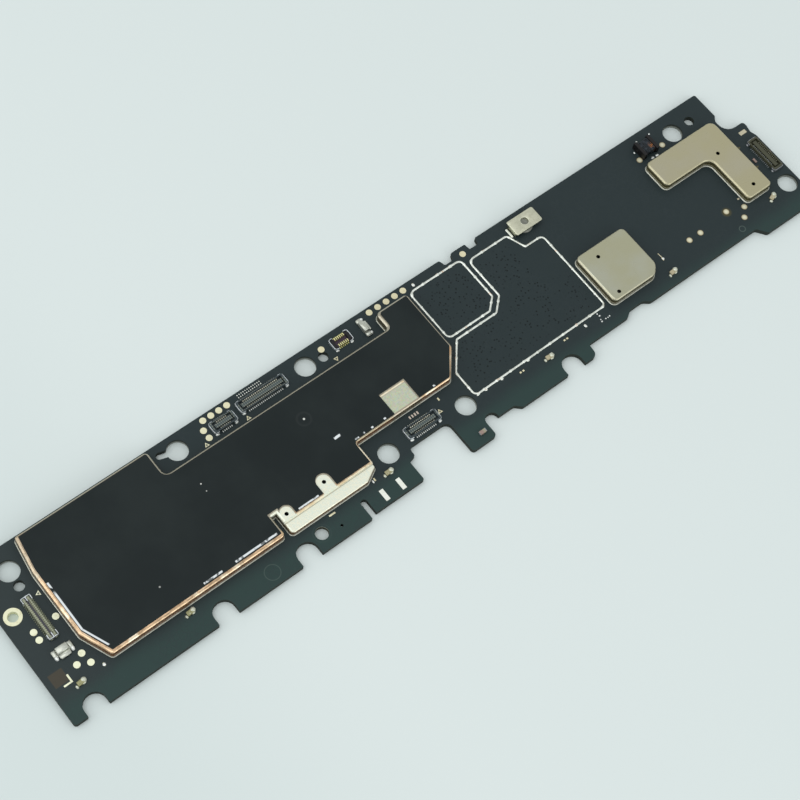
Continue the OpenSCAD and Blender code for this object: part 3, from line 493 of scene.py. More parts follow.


# Nickel-silver sheet of the bare cans, mirror-smooth on its bent walls; the bends are painted lighter as
# a painted highlight, and the walls are painted dark as a painted reflection of the board
canSheet = {"smear": (0.4, 0.38, 0.28), "grain": (0.66, 0.64, 0.5), "roughness": 0.24,
            "foot": 1.26, "crown": 1.58, "seamReflection": (0.4, 0.54)}
# wall and line are painted reflection colours; rim is the lighter colour of the painted highlight on the
# bends
squareLook = {**canSheet, "champagne": (0.485, 0.485, 0.335), "grey": (0.51, 0.53, 0.44),
              "rim": (0.56, 0.54, 0.40), "wall": srgb(84, 79, 56), "line": srgb(204, 200, 172)}
longLook = {**canSheet, "champagne": (0.505, 0.475, 0.305), "grey": (0.51, 0.485, 0.355),
            "rim": (0.56, 0.53, 0.36), "wall": srgb(82, 78, 50), "line": srgb(190, 186, 152)}


def canFinish(name, look):
    f = Finish(name)
    z = f.board()[2]
    flat = f.ramp(z, look["crown"] - 0.03, look["crown"])
    wall = f.fall(z, look["foot"] - 0.04, look["foot"])
    grain = f.noise(5.0, 3, 22.0, f.stretched(0.12, 1.0, 1.0))
    smear = f.patches(0.7, 4, 23.0, 0.55, 0.75)
    colour = f.mix(f.patches(0.16, 3, 21.0, 0.35, 0.7), look["champagne"], look["grey"])
    colour = f.mix(smear * 0.1, colour, look["smear"])
    colour = f.mix(grain * 0.1, colour, look["grain"])
    # the bend below the flat top gets the lighter rim colour: painted highlight
    colour = f.mix(flat, look["rim"], colour)
    # painted reflection: the wall is painted dark for the board it mirrors, and its own solder seam is
    # painted on it again as a pale line
    paintedReflection = f.mix(f.within(z, *look["seamReflection"], 0.06), look["wall"], look["line"])
    gloss = look["roughness"] + grain * 0.1 + smear * 0.08 + (1 - flat) * 0.14
    return f.coat(f.mix(wall, colour, paintedReflection), f.mixValue(wall, gloss, 0.28),
                  (grain * 0.6 + smear * 0.4) * flat, 0.004, Metallic=f.mixValue(wall, 1.0, 0.25))


# Main can: pale sheet where it is bare, copper where the foil wraps its left and front bends; the other
# bends are painted darker as painted shade, the steps carry painted highlights and a painted shade line,
# and the walls a painted reflection
mainLook = {
    "pale": (0.80, 0.86, 0.74), "cream": (0.86, 0.86, 0.70), "window": (0.53, 0.57, 0.43),
    "copper": (0.72, 0.53, 0.34), "brown": (0.36, 0.26, 0.16), "far": (0.46, 0.43, 0.34),
    "step": (0.95, 0.87, 0.66), "peach": (0.84, 0.66, 0.42), "stepFoot": (0.36, 0.34, 0.25),
    "wall": srgb(92, 86, 66), "shade": srgb(70, 66, 52), "wrappedWall": srgb(122, 84, 54),
    "shelfRim": (0.62, 0.60, 0.46), "windowPlace": (69.4, 75.0, 11.9, 16.4),
    "shelfPlace": (43.0, 62.6, 2.0, 10.6), "stepRuns": ((46.5, 51.9), (54.6, 61.6)), "stepLine": 7.0}


# Where the copper shows: the left end and the front walls
def copperShare(f, x, y):
    left = f.fall(x, 10.2, 11.2) * f.ramp(y, 20.4, 22.4, 1.0, 0.45)
    front = f.fall(y, 6.2, 6.6) * f.fall(x, 43.1, 43.3)
    step = f.ramp(x, 43.9, 44.1) * f.fall(y, 7.6, 8.0) * 0.7
    east = f.ramp(x, 61.3, 61.5) * f.fall(y + f.ramp(x, 81.0, 85.2) * -4.4, 11.9, 12.2)
    east = east * f.ramp(x, 84.6, 85.2, 1.0, 0.4)
    bare = f.within(x, 69.3, 75.2, 0.2) * 0.85
    return left.atLeast(front).atLeast(step).atLeast(east * (1 - bare))


def mainCanFinish(look):
    f = Finish("mainCanSheet")
    x, y, z = f.board()
    mottle = f.patches(2.4, 4, 31.0, 0.4, 0.62)
    pale = f.mix(mottle, look["pale"], look["cream"])
    speckle = f.node("ShaderNodeTexNoise", {}, {"Vector": f.place, "Scale": 2.8 / mm, "Detail": 3.0},
                     "Color")
    window = f.area(x, y, look["windowPlace"], 0.05)
    # cream and peach strip: a painted highlight on the step faces and at the window's back edge
    stripHighlight = f.mix(f.patches(1.1, 3, 35.0, 0.42, 0.6), look["step"], look["peach"])
    glass = f.mix(0.34, look["window"], speckle, "OVERLAY")
    # the back of the window is painted in the darker far colour: painted shade
    glass = f.mix(f.ramp(y, 15.2, 15.35) * 0.7, glass, look["far"])
    glass = f.mix(f.ramp(y, 15.42, 15.54), glass, stripHighlight)
    # the slanted step up from the shelf, between the ears, with a dark line painted at its foot as
    # painted shade and its face painted light as a painted highlight
    line = look["stepLine"]
    step = f.strongest(f.within(x, *run, 0.1) for run in look["stepRuns"])
    pale = f.mix(f.within(y, line - 0.07, line + 0.07, 0.05) * 0.75, pale, look["stepFoot"])
    pale = f.mix(step * f.ramp(y, line + 0.05, line + 0.12), pale, stripHighlight)
    shelf = f.area(x, y, look["shelfPlace"], 0.05)
    bare = shelf.atLeast(window) * f.ramp(z, 0.95, 1.05)
    wrapped = copperShare(f, x, y)
    copper = f.mix(f.patches(0.5, 3, 32.0, 0.45, 0.65) * 0.8, look["copper"], look["brown"])
    copper = f.mix(f.patches(0.35, 3, 36.0, 0.5, 0.62) * 0.8, copper, look["step"])
    # away from the wrapped left and front, the bends are painted in the darker far colour: painted shade
    bend = f.mix(wrapped, look["far"], copper)
    bend = f.mix(shelf * f.fall(z, 0.95, 1.05), bend, look["shelfRim"])
    wall = f.fall(z, 0.84, 0.88).atLeast(f.fall(z, 1.2, 1.26) * (1 - shelf))
    # the walls are painted dark as a painted reflection of the board, browner where the foil wraps
    wallReflection = f.mix(f.noise(1.5, 3, 33.0) * 0.5, look["wall"], look["shade"])
    wallReflection = f.mix(wrapped, wallReflection, look["wrappedWall"])
    colour = f.mix(wall, f.mix(bare, bend, f.mix(window, pale, glass)), wallReflection)
    return f.coat(colour, f.mixValue(wall, 0.24 + mottle * 0.12, 0.28),
                  (f.noise(6.0, 3, 34.0) * 0.6 + mottle * 0.4) * (1 - wall), 0.006,
                  Metallic=f.mixValue(bare.atLeast(wall), 1.0, 0.25))


# Rolled copper foil under the film, painted dull along the far edges as painted shade
foilLook = {"bright": (0.74, 0.52, 0.33), "dark": (0.42, 0.29, 0.18), "cream": (0.86, 0.78, 0.62),
            "orange": (0.70, 0.38, 0.18), "far": (0.46, 0.43, 0.34), "farDark": (0.36, 0.33, 0.26)}


def foilFinish(look):
    f = Finish("copperFoil", Metallic=1.0)
    x, y, _ = f.board()
    patch = f.patches(0.7, 4, 41.0, 0.4, 0.62)
    copper = f.mix(patch, look["bright"], look["dark"])
    copper = f.mix(f.patches(0.35, 3, 36.0, 0.5, 0.62) * 0.7, copper, look["cream"])
    copper = f.mix(f.ramp(x, 74.5, 75.5) * 0.8, copper, look["orange"])
    # away from the left and front the foil is painted dull grey-brown: painted shade
    far = f.mix(patch, look["far"], look["farDark"])
    return f.coat(f.mix(copperShare(f, x, y), far, copper), 0.22 + f.noise(3.0, 3, 42.0) * 0.2,
                  f.noise(2.2, 3, 43.0), 0.02)


# Black graphite film with a fine grain, faint ripples, a few specks and bluish-white painted highlights
# where its edges glint
filmLook = {
    "black": srgb(25, 33, 34), "wornAndGlint": srgb(38, 46, 46), "roughness": 0.38, "level": 1.75,
    "speck": srgb(225, 228, 222), "halo": srgb(140, 140, 140), "cut": srgb(242, 249, 251),
    "cuts": ((28.0, 31.5, 6.18, 6.5), (34.0, 42.0, 6.18, 6.52), (47.2, 51.1, 7.5, 7.78),
             (61.7, 62.5, 11.78, 12.02), (63.45, 63.75, 11.85, 12.15), (65.1, 65.5, 11.85, 12.15),
             (67.7, 68.1, 11.9, 12.2), (77.9, 78.3, 11.85, 12.15), (59.1, 60.3, 13.75, 14.2)),
    "leftGlint": (8.9, 9.22, 11.2, 20.5), "slant": (9.0, 11.2), "slantAcross": (0.922, 0.387),
    # place, radius, brightness and strength of the halo
    "specks": ((22.3, 9.9, 0.2, 0.5, 0.0), (37.4, 20.1, 0.17, 0.85, 0.0),
               (37.4, 18.6, 0.14, 0.6, 0.0), (57.3, 19.6, 0.24, 1.0, 0.035))}


def filmFinish(look):
    f = Finish("graphiteFilm", Specular_IOR_Level=0.15)
    x, y, _ = f.board()
    colour = f.mix(f.patches(0.1, 4, 51.0, 0.35, 0.7) * 0.6, look["black"], look["wornAndGlint"])
    for sx, sy, size, shade, halo in look["specks"]:
        away = f.distance(sx, sy, look["level"])
        colour = f.mix(f.fall(away, size * 0.5, size, shade), colour, look["speck"])
        colour = f.mix(f.within(away, 1.0, 1.3, 0.2) * halo, colour, look["halo"])
    broken = f.patches(1.3, 2, 54.0, 0.4, 0.5)
    (cornerX, cornerY), (acrossX, acrossY) = look["slant"], look["slantAcross"]
    slant = (x - cornerX) * acrossX + (y - cornerY) * acrossY
    glints = [f.area(x, y, cut, 0.05) * f.mixValue(0.8, 1.0, broken) for cut in look["cuts"]]
    glints.append(f.area(x, y, look["leftGlint"], 0.06) * f.mixValue(f.ramp(y, 18.0, 19.0), 1.0, broken))
    glints.append(f.within(slant, -0.06, 0.22, 0.06) * f.within(y, 6.9, cornerY, 0.1))
    glint = f.strongest(glints)
    # bluish-white painted highlights along the film's edges
    colour = f.mix(glint * 0.95, colour, look["cut"])
    grain = f.noise(14.0, 2, 52.0)
    ripple = f.noise(0.22, 2, 53.0, f.stretched(0.5, 1.6, 1.0))
    return f.coat(f.mix(grain * 0.15, colour, look["wornAndGlint"]),
                  look["roughness"] + grain * 0.1 - glint * 0.15, grain * 0.2 + ripple, 0.03)


# Solder: bright tin, with pinkish dips where the copper is thinly wetted
solderLook = {"tin": (0.90, 0.95, 0.88), "dull": (0.64, 0.68, 0.61), "copper": (0.78, 0.60, 0.45),
              "thin": 0.8}
canSolderLook = {"tin": (0.52, 0.53, 0.46), "dull": (0.38, 0.39, 0.32), "copper": (0.44, 0.38, 0.28),
                 "thin": 0.4}


def solderFinish(name, look):
    f = Finish(name, Metallic=0.7)
    lump = f.noise(1.4, 3, 61.0)
    colour = f.mix(f.ramp(lump, 0.4, 0.7), look["tin"], look["dull"])
    colour = f.mix(f.patches(1.0, 2, 62.0, 0.62, 0.66) * look["thin"], colour, look["copper"])
    return f.coat(colour, 0.24 + lump * 0.2, f.noise(3.5, 3, 63.0), 0.03)


def plasticFinish(name, dark, light, seed, gloss=0.35, rough=0.42, scale=9.0, depth=0.006):
    f = Finish(name, Specular_IOR_Level=gloss)
    grain = f.noise(scale, 3, seed)
    return f.coat(f.mix(grain, dark, light), rough + grain * 0.15, grain, depth)


def metalFinish(name, first, second, rough, seed, metallic=1.0):
    f = Finish(name, Metallic=metallic)
    patch = f.patches(2.0, 4, seed, 0.38, 0.66)
    brush = f.noise(9.0, 2, seed + 1, f.stretched(0.2, 1.0, 1.0))
    return f.coat(f.mix(patch, first, second), rough + brush * 0.12, brush * 0.5 + patch * 0.5, 0.005)


# Receptacle housings: dark walls round a paler tongue, ribbed by the contact slots
housingLook = {"dark": srgb(48, 58, 62), "light": srgb(66, 77, 80), "tongue": srgb(80, 92, 93),
               "tip": srgb(158, 160, 138), "tongueHalf": 0.36, "coreHalf": 0.13,
               "rows": ("receptacle_24", "receptacle_12", "receptacle_40")}


def housingFinish(look):
    f = Finish("connectorPlastic", Specular_IOR_Level=0.3)
    x, y, z = f.board()
    grain = f.noise(7.0, 3, 71.0)
    axes = [connectors[name][1] for name in look["rows"]]
    wide, slim = look["tongueHalf"], look["coreHalf"]
    tongue = f.strongest(f.within(y, axis - wide, axis + wide, 0.03) for axis in axes)
    core = f.strongest(f.within(y, axis - slim, axis + slim, 0.04) for axis in axes)
    ribs = f.node("ShaderNodeMath", {"operation": "COSINE"}, [x * (2 * math.pi / contactPitch)])
    tongue = tongue * f.ramp(z, 0.5, 0.6)
    colour = f.mix(tongue, f.mix(grain, look["dark"], look["light"]), look["tongue"])
    colour = f.mix(f.ramp(ribs, -0.6, 0.6) * 0.35 * tongue, colour, look["dark"])
    colour = f.mix(f.ramp(ribs, 0.0, -0.7) * 0.6 * tongue * (1 - core), colour, look["tip"])
    return f.coat(colour, 0.42 + grain * 0.15, grain, 0.006)


# Long header: cream contact ridges beside a purplish channel, olive outside them
headerLook = {"ridge": srgb(168, 172, 148), "channel": srgb(82, 80, 92), "side": srgb(92, 98, 78),
              "axis": 5.2}


def headerFinish(name, look, gleam):
    f = Finish(name, Specular_IOR_Level=0.3)
    grain = f.noise(7.0, 3, 73.0)
    away = f.node("ShaderNodeMath", {"operation": "ABSOLUTE"}, [f.board()[0] - look["axis"]])
    colour = f.mix(f.ramp(away, 0.16, 0.24), look["channel"], look["ridge"])
    colour = f.mix(f.ramp(away, 0.5, 0.6), colour, look["side"])
    colour = f.mix(grain * 0.3, colour, look["side"])
    return f.coat(f.mix(gleam, colour, look["ridge"]), 0.4 + grain * 0.15, grain, 0.006, Metallic=gleam)


# Plum housing of the small header, painted nearly black past its contact rows as painted shade in the end
# recesses
plumLook = {"black": srgb(20, 20, 24), "plum": srgb(44, 32, 46), "light": srgb(74, 56, 74), "half": 1.15}


def plumFinish(look):
    f = Finish("darkHeaderPlastic", Specular_IOR_Level=0.35)
    grain = f.noise(9.0, 3, 74.0)
    centre, half = connectors["header_12"][0], look["half"]
    rows = f.within(f.board()[0], centre - half, centre + half, 0.1)
    return f.coat(f.mix(rows, look["black"], f.mix(grain, look["plum"], look["light"])),
                  0.42 + grain * 0.15, grain, 0.006)


# Contacts of the dark receptacle: the row towards the board is painted lighter as a painted highlight,
# the other row darker as painted shade
dimLook = {"near": (0.36, 0.40, 0.41), "far": (0.16, 0.16, 0.11), "patch": (0.12, 0.12, 0.09)}


def dimContactFinish(look):
    f = Finish("dimContact", Metallic=0.6)
    patch = f.patches(2.0, 4, 100.0, 0.38, 0.66)
    row = f.mix(f.ramp(f.board()[0], 155.2, 155.4), look["near"], look["far"])
    return f.coat(f.mix(patch * 0.4, row, look["patch"]), 0.35 + patch * 0.1, patch, 0.005)


# Two shades of ceramic, with a third that takes over along a stretch of the board
chipCeramic = {"first": srgb(134, 134, 92), "second": srgb(162, 160, 118), "seed": 83.0,
               "third": srgb(180, 171, 142), "stretch": (66.0, 180.0, 20.0)}
tabCeramic = {"first": srgb(158, 134, 128), "second": srgb(140, 124, 112), "seed": 85.0,
              "third": srgb(158, 156, 130), "stretch": (79.95, 81.5, 0.2)}


def ceramicFinish(name, look):
    f = Finish(name, Specular_IOR_Level=0.4)
    grain = f.noise(5.0, 4, look["seed"])
    colour = f.mix(f.ramp(grain, 0.35, 0.65), look["first"], look["second"])
    stretch = f.within(f.board()[0], *look["stretch"]) * f.ramp(grain, 0.3, 0.5)
    return f.coat(f.mix(stretch, colour, look["third"]), 0.35 + grain * 0.2, grain, 0.012)


# Coil of dark enamelled wire, with copper patches painted near one place as copper glints: painted
# highlights
wireLook = {"enamel": srgb(33, 40, 45), "sheen": srgb(58, 66, 74), "copper": srgb(150, 96, 52),
            "glintPlace": (139.7, top - 4.1, 1.2), "roughness": 0.3}


def wireFinish(look):
    f = Finish("enamelledWire", Metallic=0.5)
    patch = f.patches(2.0, 4, 97.0, 0.45, 0.66)
    # copper patches near one place: painted highlights standing in for copper glints
    wornAndGlint = f.fall(f.distance(*look["glintPlace"]), 0.3, 1.3) * f.patches(1.6, 3, 98.0, 0.45, 0.55)
    colour = f.mix(patch, look["enamel"], look["sheen"])
    return f.coat(f.mix(wornAndGlint, colour, look["copper"]), look["roughness"], patch, 0.005)


# two shades, seed and, where they aren't the usual ones, gloss, roughness, grain and its depth
plastics = {"olivePlastic": (srgb(58, 62, 50), srgb(80, 80, 60), 72.0),
            "thermalPad": (srgb(120, 126, 134), srgb(140, 146, 152), 93.0),
            "ferrite": (srgb(4, 4, 5), srgb(14, 13, 15), 87.0, 0.4),
            "mouldCompound": (srgb(30, 31, 33), srgb(44, 45, 47), 91.0, 0.3, 0.55, 12.0, 0.01)}

# two shades, roughness, seed and, where it isn't full, metallic share
metals = {"contactGold": ((0.52, 0.52, 0.42), (0.68, 0.69, 0.58), 0.3, 75.0, 0.5),
          "limeGold": ((0.84, 0.83, 0.38), (0.64, 0.61, 0.26), 0.3, 77.0, 0.6),
          "tinnedPad": ((0.90, 0.93, 0.86), (0.84, 0.88, 0.78), 0.35, 101.0, 0.4),
          "clipSheet": ((0.70, 0.75, 0.77), (0.50, 0.55, 0.57), 0.25, 102.0, 0.8),
          "whiteSolder": ((0.90, 0.94, 0.91), (0.74, 0.78, 0.75), 0.3, 106.0, 0.5),
          "dullSolder": ((0.36, 0.38, 0.40), (0.26, 0.28, 0.29), 0.35, 103.0, 0.8),
          "creamSolder": ((0.66, 0.69, 0.58), (0.56, 0.59, 0.47), 0.3, 105.0, 0.6),
          "nutThread": ((0.24, 0.25, 0.22), (0.2, 0.21, 0.18), 0.4, 104.0, 0.5),
          "tinnedSheet": ((0.72, 0.76, 0.78), (0.56, 0.60, 0.61), 0.28, 79.0),
          "creamSheet": ((0.68, 0.69, 0.54), (0.60, 0.61, 0.47), 0.3, 81.0),
          "springSheet": ((0.62, 0.65, 0.58), (0.50, 0.52, 0.45), 0.3, 82.0, 0.8),
          "crystalLid": ((0.78, 0.76, 0.66), (0.66, 0.64, 0.56), 0.3, 95.0)}

paints = {"board": boardFinish(boardLook),
          "pad": padFinish("goldPad", padLook, padLook["small"], padLook["hollow"]),
          "eyelet": padFinish("eyeletGold", padLook, wear=0.2),
          "squareCan": canFinish("squareCanSheet", squareLook),
          "longCan": canFinish("longCanSheet", longLook),
          "mainCan": mainCanFinish(mainLook), "foil": foilFinish(foilLook), "film": filmFinish(filmLook),
          "solder": solderFinish("solderTin", solderLook),
          "canSolder": solderFinish("canSolder", canSolderLook),
          "housing": housingFinish(housingLook), "dimContact": dimContactFinish(dimLook),
          "header": headerFinish("headerPlastic", headerLook, 0.0),
          "rail": headerFinish("railGold", headerLook, 0.25), "plum": plumFinish(plumLook),
          "ceramic": ceramicFinish("chipCeramic", chipCeramic),
          "tab": ceramicFinish("tabCeramic", tabCeramic), "wire": wireFinish(wireLook)}
paints.update({name: plasticFinish(name, *look) for name, look in plastics.items()})
paints.update({name: metalFinish(name, *look) for name, look in metals.items()})

# each finish with the CAD parts that wear it
coats = {"board": ["circuit_board"], "pad": ["contact_pads", "marker_pads"], "eyelet": ["ground_eyelet"],
         "mainCan": ["main_shield_can"], "squareCan": ["square_shield_can"],
         "longCan": ["long_shield_can"], "foil": ["copper_foil"], "film": ["graphite_film"],
         "canSolder": ["main_can_solder", "square_can_solder", "long_can_solder"],
         "solder": ["small_solder_ring", "large_solder_ring", "clip_nut_solder", "capacitor_ends",
                    "tab_chip_ends", "inductor_terminals"],
         "housing": ["receptacle_40_housing", "receptacle_24_housing", "receptacle_12_housing"],
         "contactGold": ["receptacle_40_contacts", "receptacle_24_contacts", "receptacle_12_contacts"],
         "olivePlastic": ["receptacle_28_housing"], "dimContact": ["receptacle_28_contacts"],
         "header": ["header_36_housing"], "rail": ["header_36_contacts"],
         "plum": ["header_12_housing"], "limeGold": ["header_12_contacts"],
         "tinnedSheet": [name + "_holddowns" for name in connectors],
         "tinnedPad": ["tinned_bars"], "creamSheet": ["clip_nut"],
         "springSheet": ["edge_ground_spring", "top_ground_spring"],
         "ceramic": ["capacitor_bodies", "inner_capacitors"], "tab": ["tab_chip_body"],
         "ferrite": ["inductor_core", "power_inductors"], "wire": ["inductor_coil"],
         "mouldCompound": ["processor", "memory_package", "storage_chip", "power_chip",
                           "core_power_chip", "radio_chip", "charger_chip", "audio_chip"],
         "thermalPad": ["processor_thermal_pad"], "crystalLid": ["crystals"]}

for paint, parts in coats.items():
    for part in parts:
        for slot in nodes[part].material_slots:
            slot.material = paints[paint].material
        if not nodes[part].material_slots:
            nodes[part].data.materials.append(paints[paint].material)
print("finishes set")


# Solder rings: a lumpy bead along the footprint of a shield, corners as (x, y, radius)
ringLook = {"width": 0.37, "height": 0.13, "lumpPitch": 2.93, "lump": 0.5,
            "seeds": {"small": 4.0, "large": 9.0},
            "small": [(86.25, 17.9, 0.9), (95.2, 17.9, 0.4), (97.35, 19.85, 0.4),
                      (97.35, top - 1.95, 0.9), (86.25, top - 1.95, 1.1)],
            "large": [(83.2, 7.15, 0.8), (112.0, 7.35, 0.8), (112.0, top - 6.4, 0.9),
                      (108.2, top - 6.4, 0.4), (106.85, top - 2.9, 0.7), (98.4, top - 2.9, 1.1),
                      (98.4, 19.3, 0.5), (95.9, 17.0, 0.4), (87.25, 17.0, 0.4), (83.2, 12.2, 0.6)]}


def beadRecipe(finish):
    r = Recipe("solderBead", "Width", "Squash", "LumpPitch", "Lump", "Seed")
    path = r.traced(0.11)
    along = r.node("GeometryNodeSplineParameter", {}, {}, "Length")
    uneven = r.noise(0.9, 3, r.size["Seed"])
    wave = r.node("ShaderNodeMath", {"operation": "COSINE"},
                  [along / r.size["LumpPitch"] * (2 * math.pi) + uneven * 3.0])
    lump = wave.atLeast(0.0) ** 7
    width = (0.8 + uneven * 0.34 + lump * r.size["Lump"]) * r.size["Width"]
    section = r.node("GeometryNodeCurvePrimitiveCircle", {}, {"Resolution": 14, "Radius": 0.5})
    return r.serve(r.seated(r.swept(path, section, width), r.size["Squash"]), finish)


bead = beadRecipe(paints["solder"])
for name, seed in ringLook["seeds"].items():
    path = [at(point.x, point.y) for point in rounded(ringLook[name])]
    ring = bead.cook(lines(name + "SolderRing", [path], closed=True), Width=ringLook["width"] * mm,
                     Squash=ringLook["height"] / ringLook["width"] * 2,
                     LumpPitch=ringLook["lumpPitch"] * mm, Lump=ringLook["lump"], Seed=seed)
    settle(ring, "solder", name + "_solder_ring")


# Drops of solder: place, size in millimetres, turn
dropLook = {
    "rings": [((83.7, 7.0), (0.7, 0.35, 0.22), 10), ((85.3, 6.9), (0.5, 0.4, 0.2), 0),
              ((88.7, 6.9), (0.6, 0.36, 0.2), 0), ((94.5, 7.0), (0.7, 0.34, 0.2), 0)],
    "blobs": [((106.6, 6.3), (0.46, 0.62, 0.14), 10), ((87.8, top - 1.1), (0.5, 0.66, 0.14), 0),
              ((126.2, 8.35), (0.42, 0.44, 0.2), 0), ((60.1, 4.95), (0.3, 0.64, 0.14), 0),
              ((8.85, 5.3), (0.52, 0.5, 0.16), 45),
              ((109.7, 6.85), (0.24, 0.3, 0.14), 0), ((109.8, 6.35), (0.36, 0.26, 0.14), 0),
              ((109.5, 5.7), (0.26, 0.22, 0.14), 0), ((109.45, 5.3), (0.3, 0.26, 0.14), 0),
              ((110.35, 5.35), (0.24, 0.24, 0.12), 0), ((110.8, 5.3), (0.24, 0.24, 0.12), 0),
              ((111.2, 5.35), (0.24, 0.24, 0.12), 0)],
    "coil": [((138.48, 24.74), (0.6, 0.5, 0.4), 0), ((139.48, 24.7), (0.66, 0.54, 0.4), 0),
             ((136.46, 27.4), (0.3, 0.4, 0.25), 0), ((138.28, 28.91), (0.4, 0.3, 0.25), 0),
             ((141.29, 28.88), (0.35, 0.3, 0.25), 0)]}


def dropRecipe(finish):
    r = Recipe("solderDrops", "Rough", "Seed")
    ball = r.node("GeometryNodeMeshIcoSphere", {}, {"Radius": 0.5, "Subdivisions": 4})
    size = r.node("GeometryNodeInputNamedAttribute", {"data_type": "FLOAT_VECTOR"}, {"Name": "size"})
    turn = r.node("GeometryNodeInputNamedAttribute", {"data_type": "FLOAT"}, {"Name": "turn"})
    spin = r.node("ShaderNodeCombineXYZ", {}, {"Z": turn})
    drops = r.node("GeometryNodeInstanceOnPoints", {}, {"Points": r.shape, "Instance": ball,
                                                        "Rotation": spin, "Scale": size})
    drops = r.node("GeometryNodeRealizeInstances", {}, [drops])
    swell = (r.noise(3.0, 2, r.size["Seed"]) - 0.5) * r.size["Rough"]
    push = r.node("ShaderNodeVectorMath", {"operation": "SCALE"},
                  {0: r.node("GeometryNodeInputNormal", {}, {}), "Scale": swell})
    drops = r.node("GeometryNodeSetPosition", {}, {"Geometry": drops, "Offset": push})
    return r.serve(r.seated(drops), finish)


def layDrops(name, recipe, rows, rough, seed, *replaced):
    settle(recipe.cook(spots(name, rows), Rough=rough * mm, Seed=seed), "solder", *replaced)


whiteDrops = dropRecipe(paints["whiteSolder"])
# dark solder drops: the dark receptacle's own, and painted shade on the back drops of the other
# connectors
darkAndShadedDrops = dropRecipe(paints["dullSolder"])
layDrops("ringDrops", dropRecipe(paints["solder"]), dropLook["rings"], 0.12, 3.0)
layDrops("platedBlobs", whiteDrops, dropLook["blobs"], 0.1, 4.0)
layDrops("coilTerminals", whiteDrops, dropLook["coil"], 0.1, 5.0, "inductor_terminals")
print("solder rings and drops made")


# Wound inductor: turns of enamelled wire between the flanges
coilLook = {"place": (right - 18.7, top - 3.55, 0.75), "turns": 9, "length": 1.95, "width": 2.5,
            "height": 1.05, "wire": 0.22}


def coilRecipe(finish):
    r = Recipe("coilTurns", "Turns", "Length", "Width", "Height", "Wire")
    loop = r.node("GeometryNodeCurvePrimitiveQuadrilateral", {},
                  {"Width": r.size["Width"], "Height": r.size["Height"]})
    loop = r.node("GeometryNodeFilletCurve", {"mode": "POLY"},
                  {"Curve": loop, "Count": 5, "Radius": r.size["Height"] * 0.3})
    section = r.node("GeometryNodeCurvePrimitiveCircle", {}, {"Resolution": 8, "Radius": 0.5})
    loop = r.swept(loop, section, r.size["Wire"], False)
    loop = r.node("GeometryNodeTransform", {}, {"Geometry": loop,
                                                "Rotation": (math.pi / 2, 0, math.pi / 2)})
    step = r.node("ShaderNodeCombineXYZ", {}, {"X": r.size["Length"] / (r.size["Turns"] - 1.0)})
    row = r.node("GeometryNodeMeshLine", {"mode": "OFFSET"},
                 {"Count": r.size["Turns"], "Offset": step})
    back = r.node("ShaderNodeCombineXYZ", {}, {"X": r.size["Length"] * -0.5})
    row = r.node("GeometryNodeTransform", {}, {"Geometry": row, "Translation": back})
    row = r.node("GeometryNodeInstanceOnPoints", {}, {"Points": r.shape, "Instance": row})
    row = r.node("GeometryNodeRealizeInstances", {}, [row])
    loose = r.node("FunctionNodeRandomValue", {"data_type": "FLOAT_VECTOR"},
                   {"Min": (0.0, -0.03, -0.02), "Max": (0.06, 0.03, 0.0), "Seed": 7})
    turns = r.node("GeometryNodeInstanceOnPoints", {}, {"Points": row, "Instance": loop,
                                                        "Rotation": loose})
    return r.serve(turns, finish)


coil = coilRecipe(paints["wire"]).cook(
    spots("coilTurns", [(coilLook["place"], (1, 1, 1), 0)]), Turns=coilLook["turns"],
    Length=coilLook["length"] * mm, Width=coilLook["width"] * mm,
    Height=coilLook["height"] * mm, Wire=coilLook["wire"] * mm)
settle(coil, "coil_wire", "inductor_coil")
print("coil wound")


# Thin bent strips: connector clips, rails and the foil's turned edges, painted cream as painted
# highlights
def ribbonRecipe(name, finish):
    r = Recipe(name, "Width", "Tall", "Uneven", "Seed")
    path = r.traced(0.08)
    width = 1.0 + (r.noise(1.2, 2, r.size["Seed"]) - 0.5) * r.size["Uneven"]
    section = r.node("GeometryNodeCurvePrimitiveQuadrilateral", {},
                     {"Width": r.size["Width"], "Height": r.size["Tall"]})
    section = r.node("GeometryNodeFilletCurve", {"mode": "POLY"},
                     {"Curve": section, "Count": 2, "Radius": r.size["Width"] * 0.3})
    return r.serve(r.swept(path, section, width), finish)


def ribbon(name, finish, runs, look, uneven, seed, slotName, *replaced):
    made = ribbonRecipe(name, finish).cook(lines(name, runs), Width=look["sheet"] * mm,
                                           Tall=look["tall"] * mm, Uneven=uneven, Seed=seed)
    settle(made, slotName, *replaced)


# each connector with its turn, half length and half width
clipLook = {"receptacles": [("receptacle_40", 0, 4.625, 1.0), ("receptacle_24", 0, 3.225, 1.0),
                            ("receptacle_12", 0, 2.175, 1.0)],
            "small": ("header_12", 0, 1.8, 1.0), "dark": ("receptacle_28", 90, 3.575, 1.0),
            "rail": ("header_36", 90, 3.93, 0.78), "sheet": 0.13, "tall": 0.62, "grip": 0.75,
            "corner": 0.45, "out": 0.07, "railEnd": 0.85, "railLevel": 0.5,
            "frontDrop": (0.68, 0.44, 0.5), "backDrop": (0.6, 0.3, 0.5), "railDrop": (0.5, 0.24, 0.6),
            "darkDrop": (0.5, 0.4, 0.3), "tail": (0.19, 0.4, 0.26), "tails": (20, 12, 6)}


# From a part's own x and y to the board's
def local(centre, degrees, x, y, z=0.0):
    turn = math.radians(degrees)
    return (centre[0] + x * math.cos(turn) - y * math.sin(turn),
            centre[1] + x * math.sin(turn) + y * math.cos(turn), z)


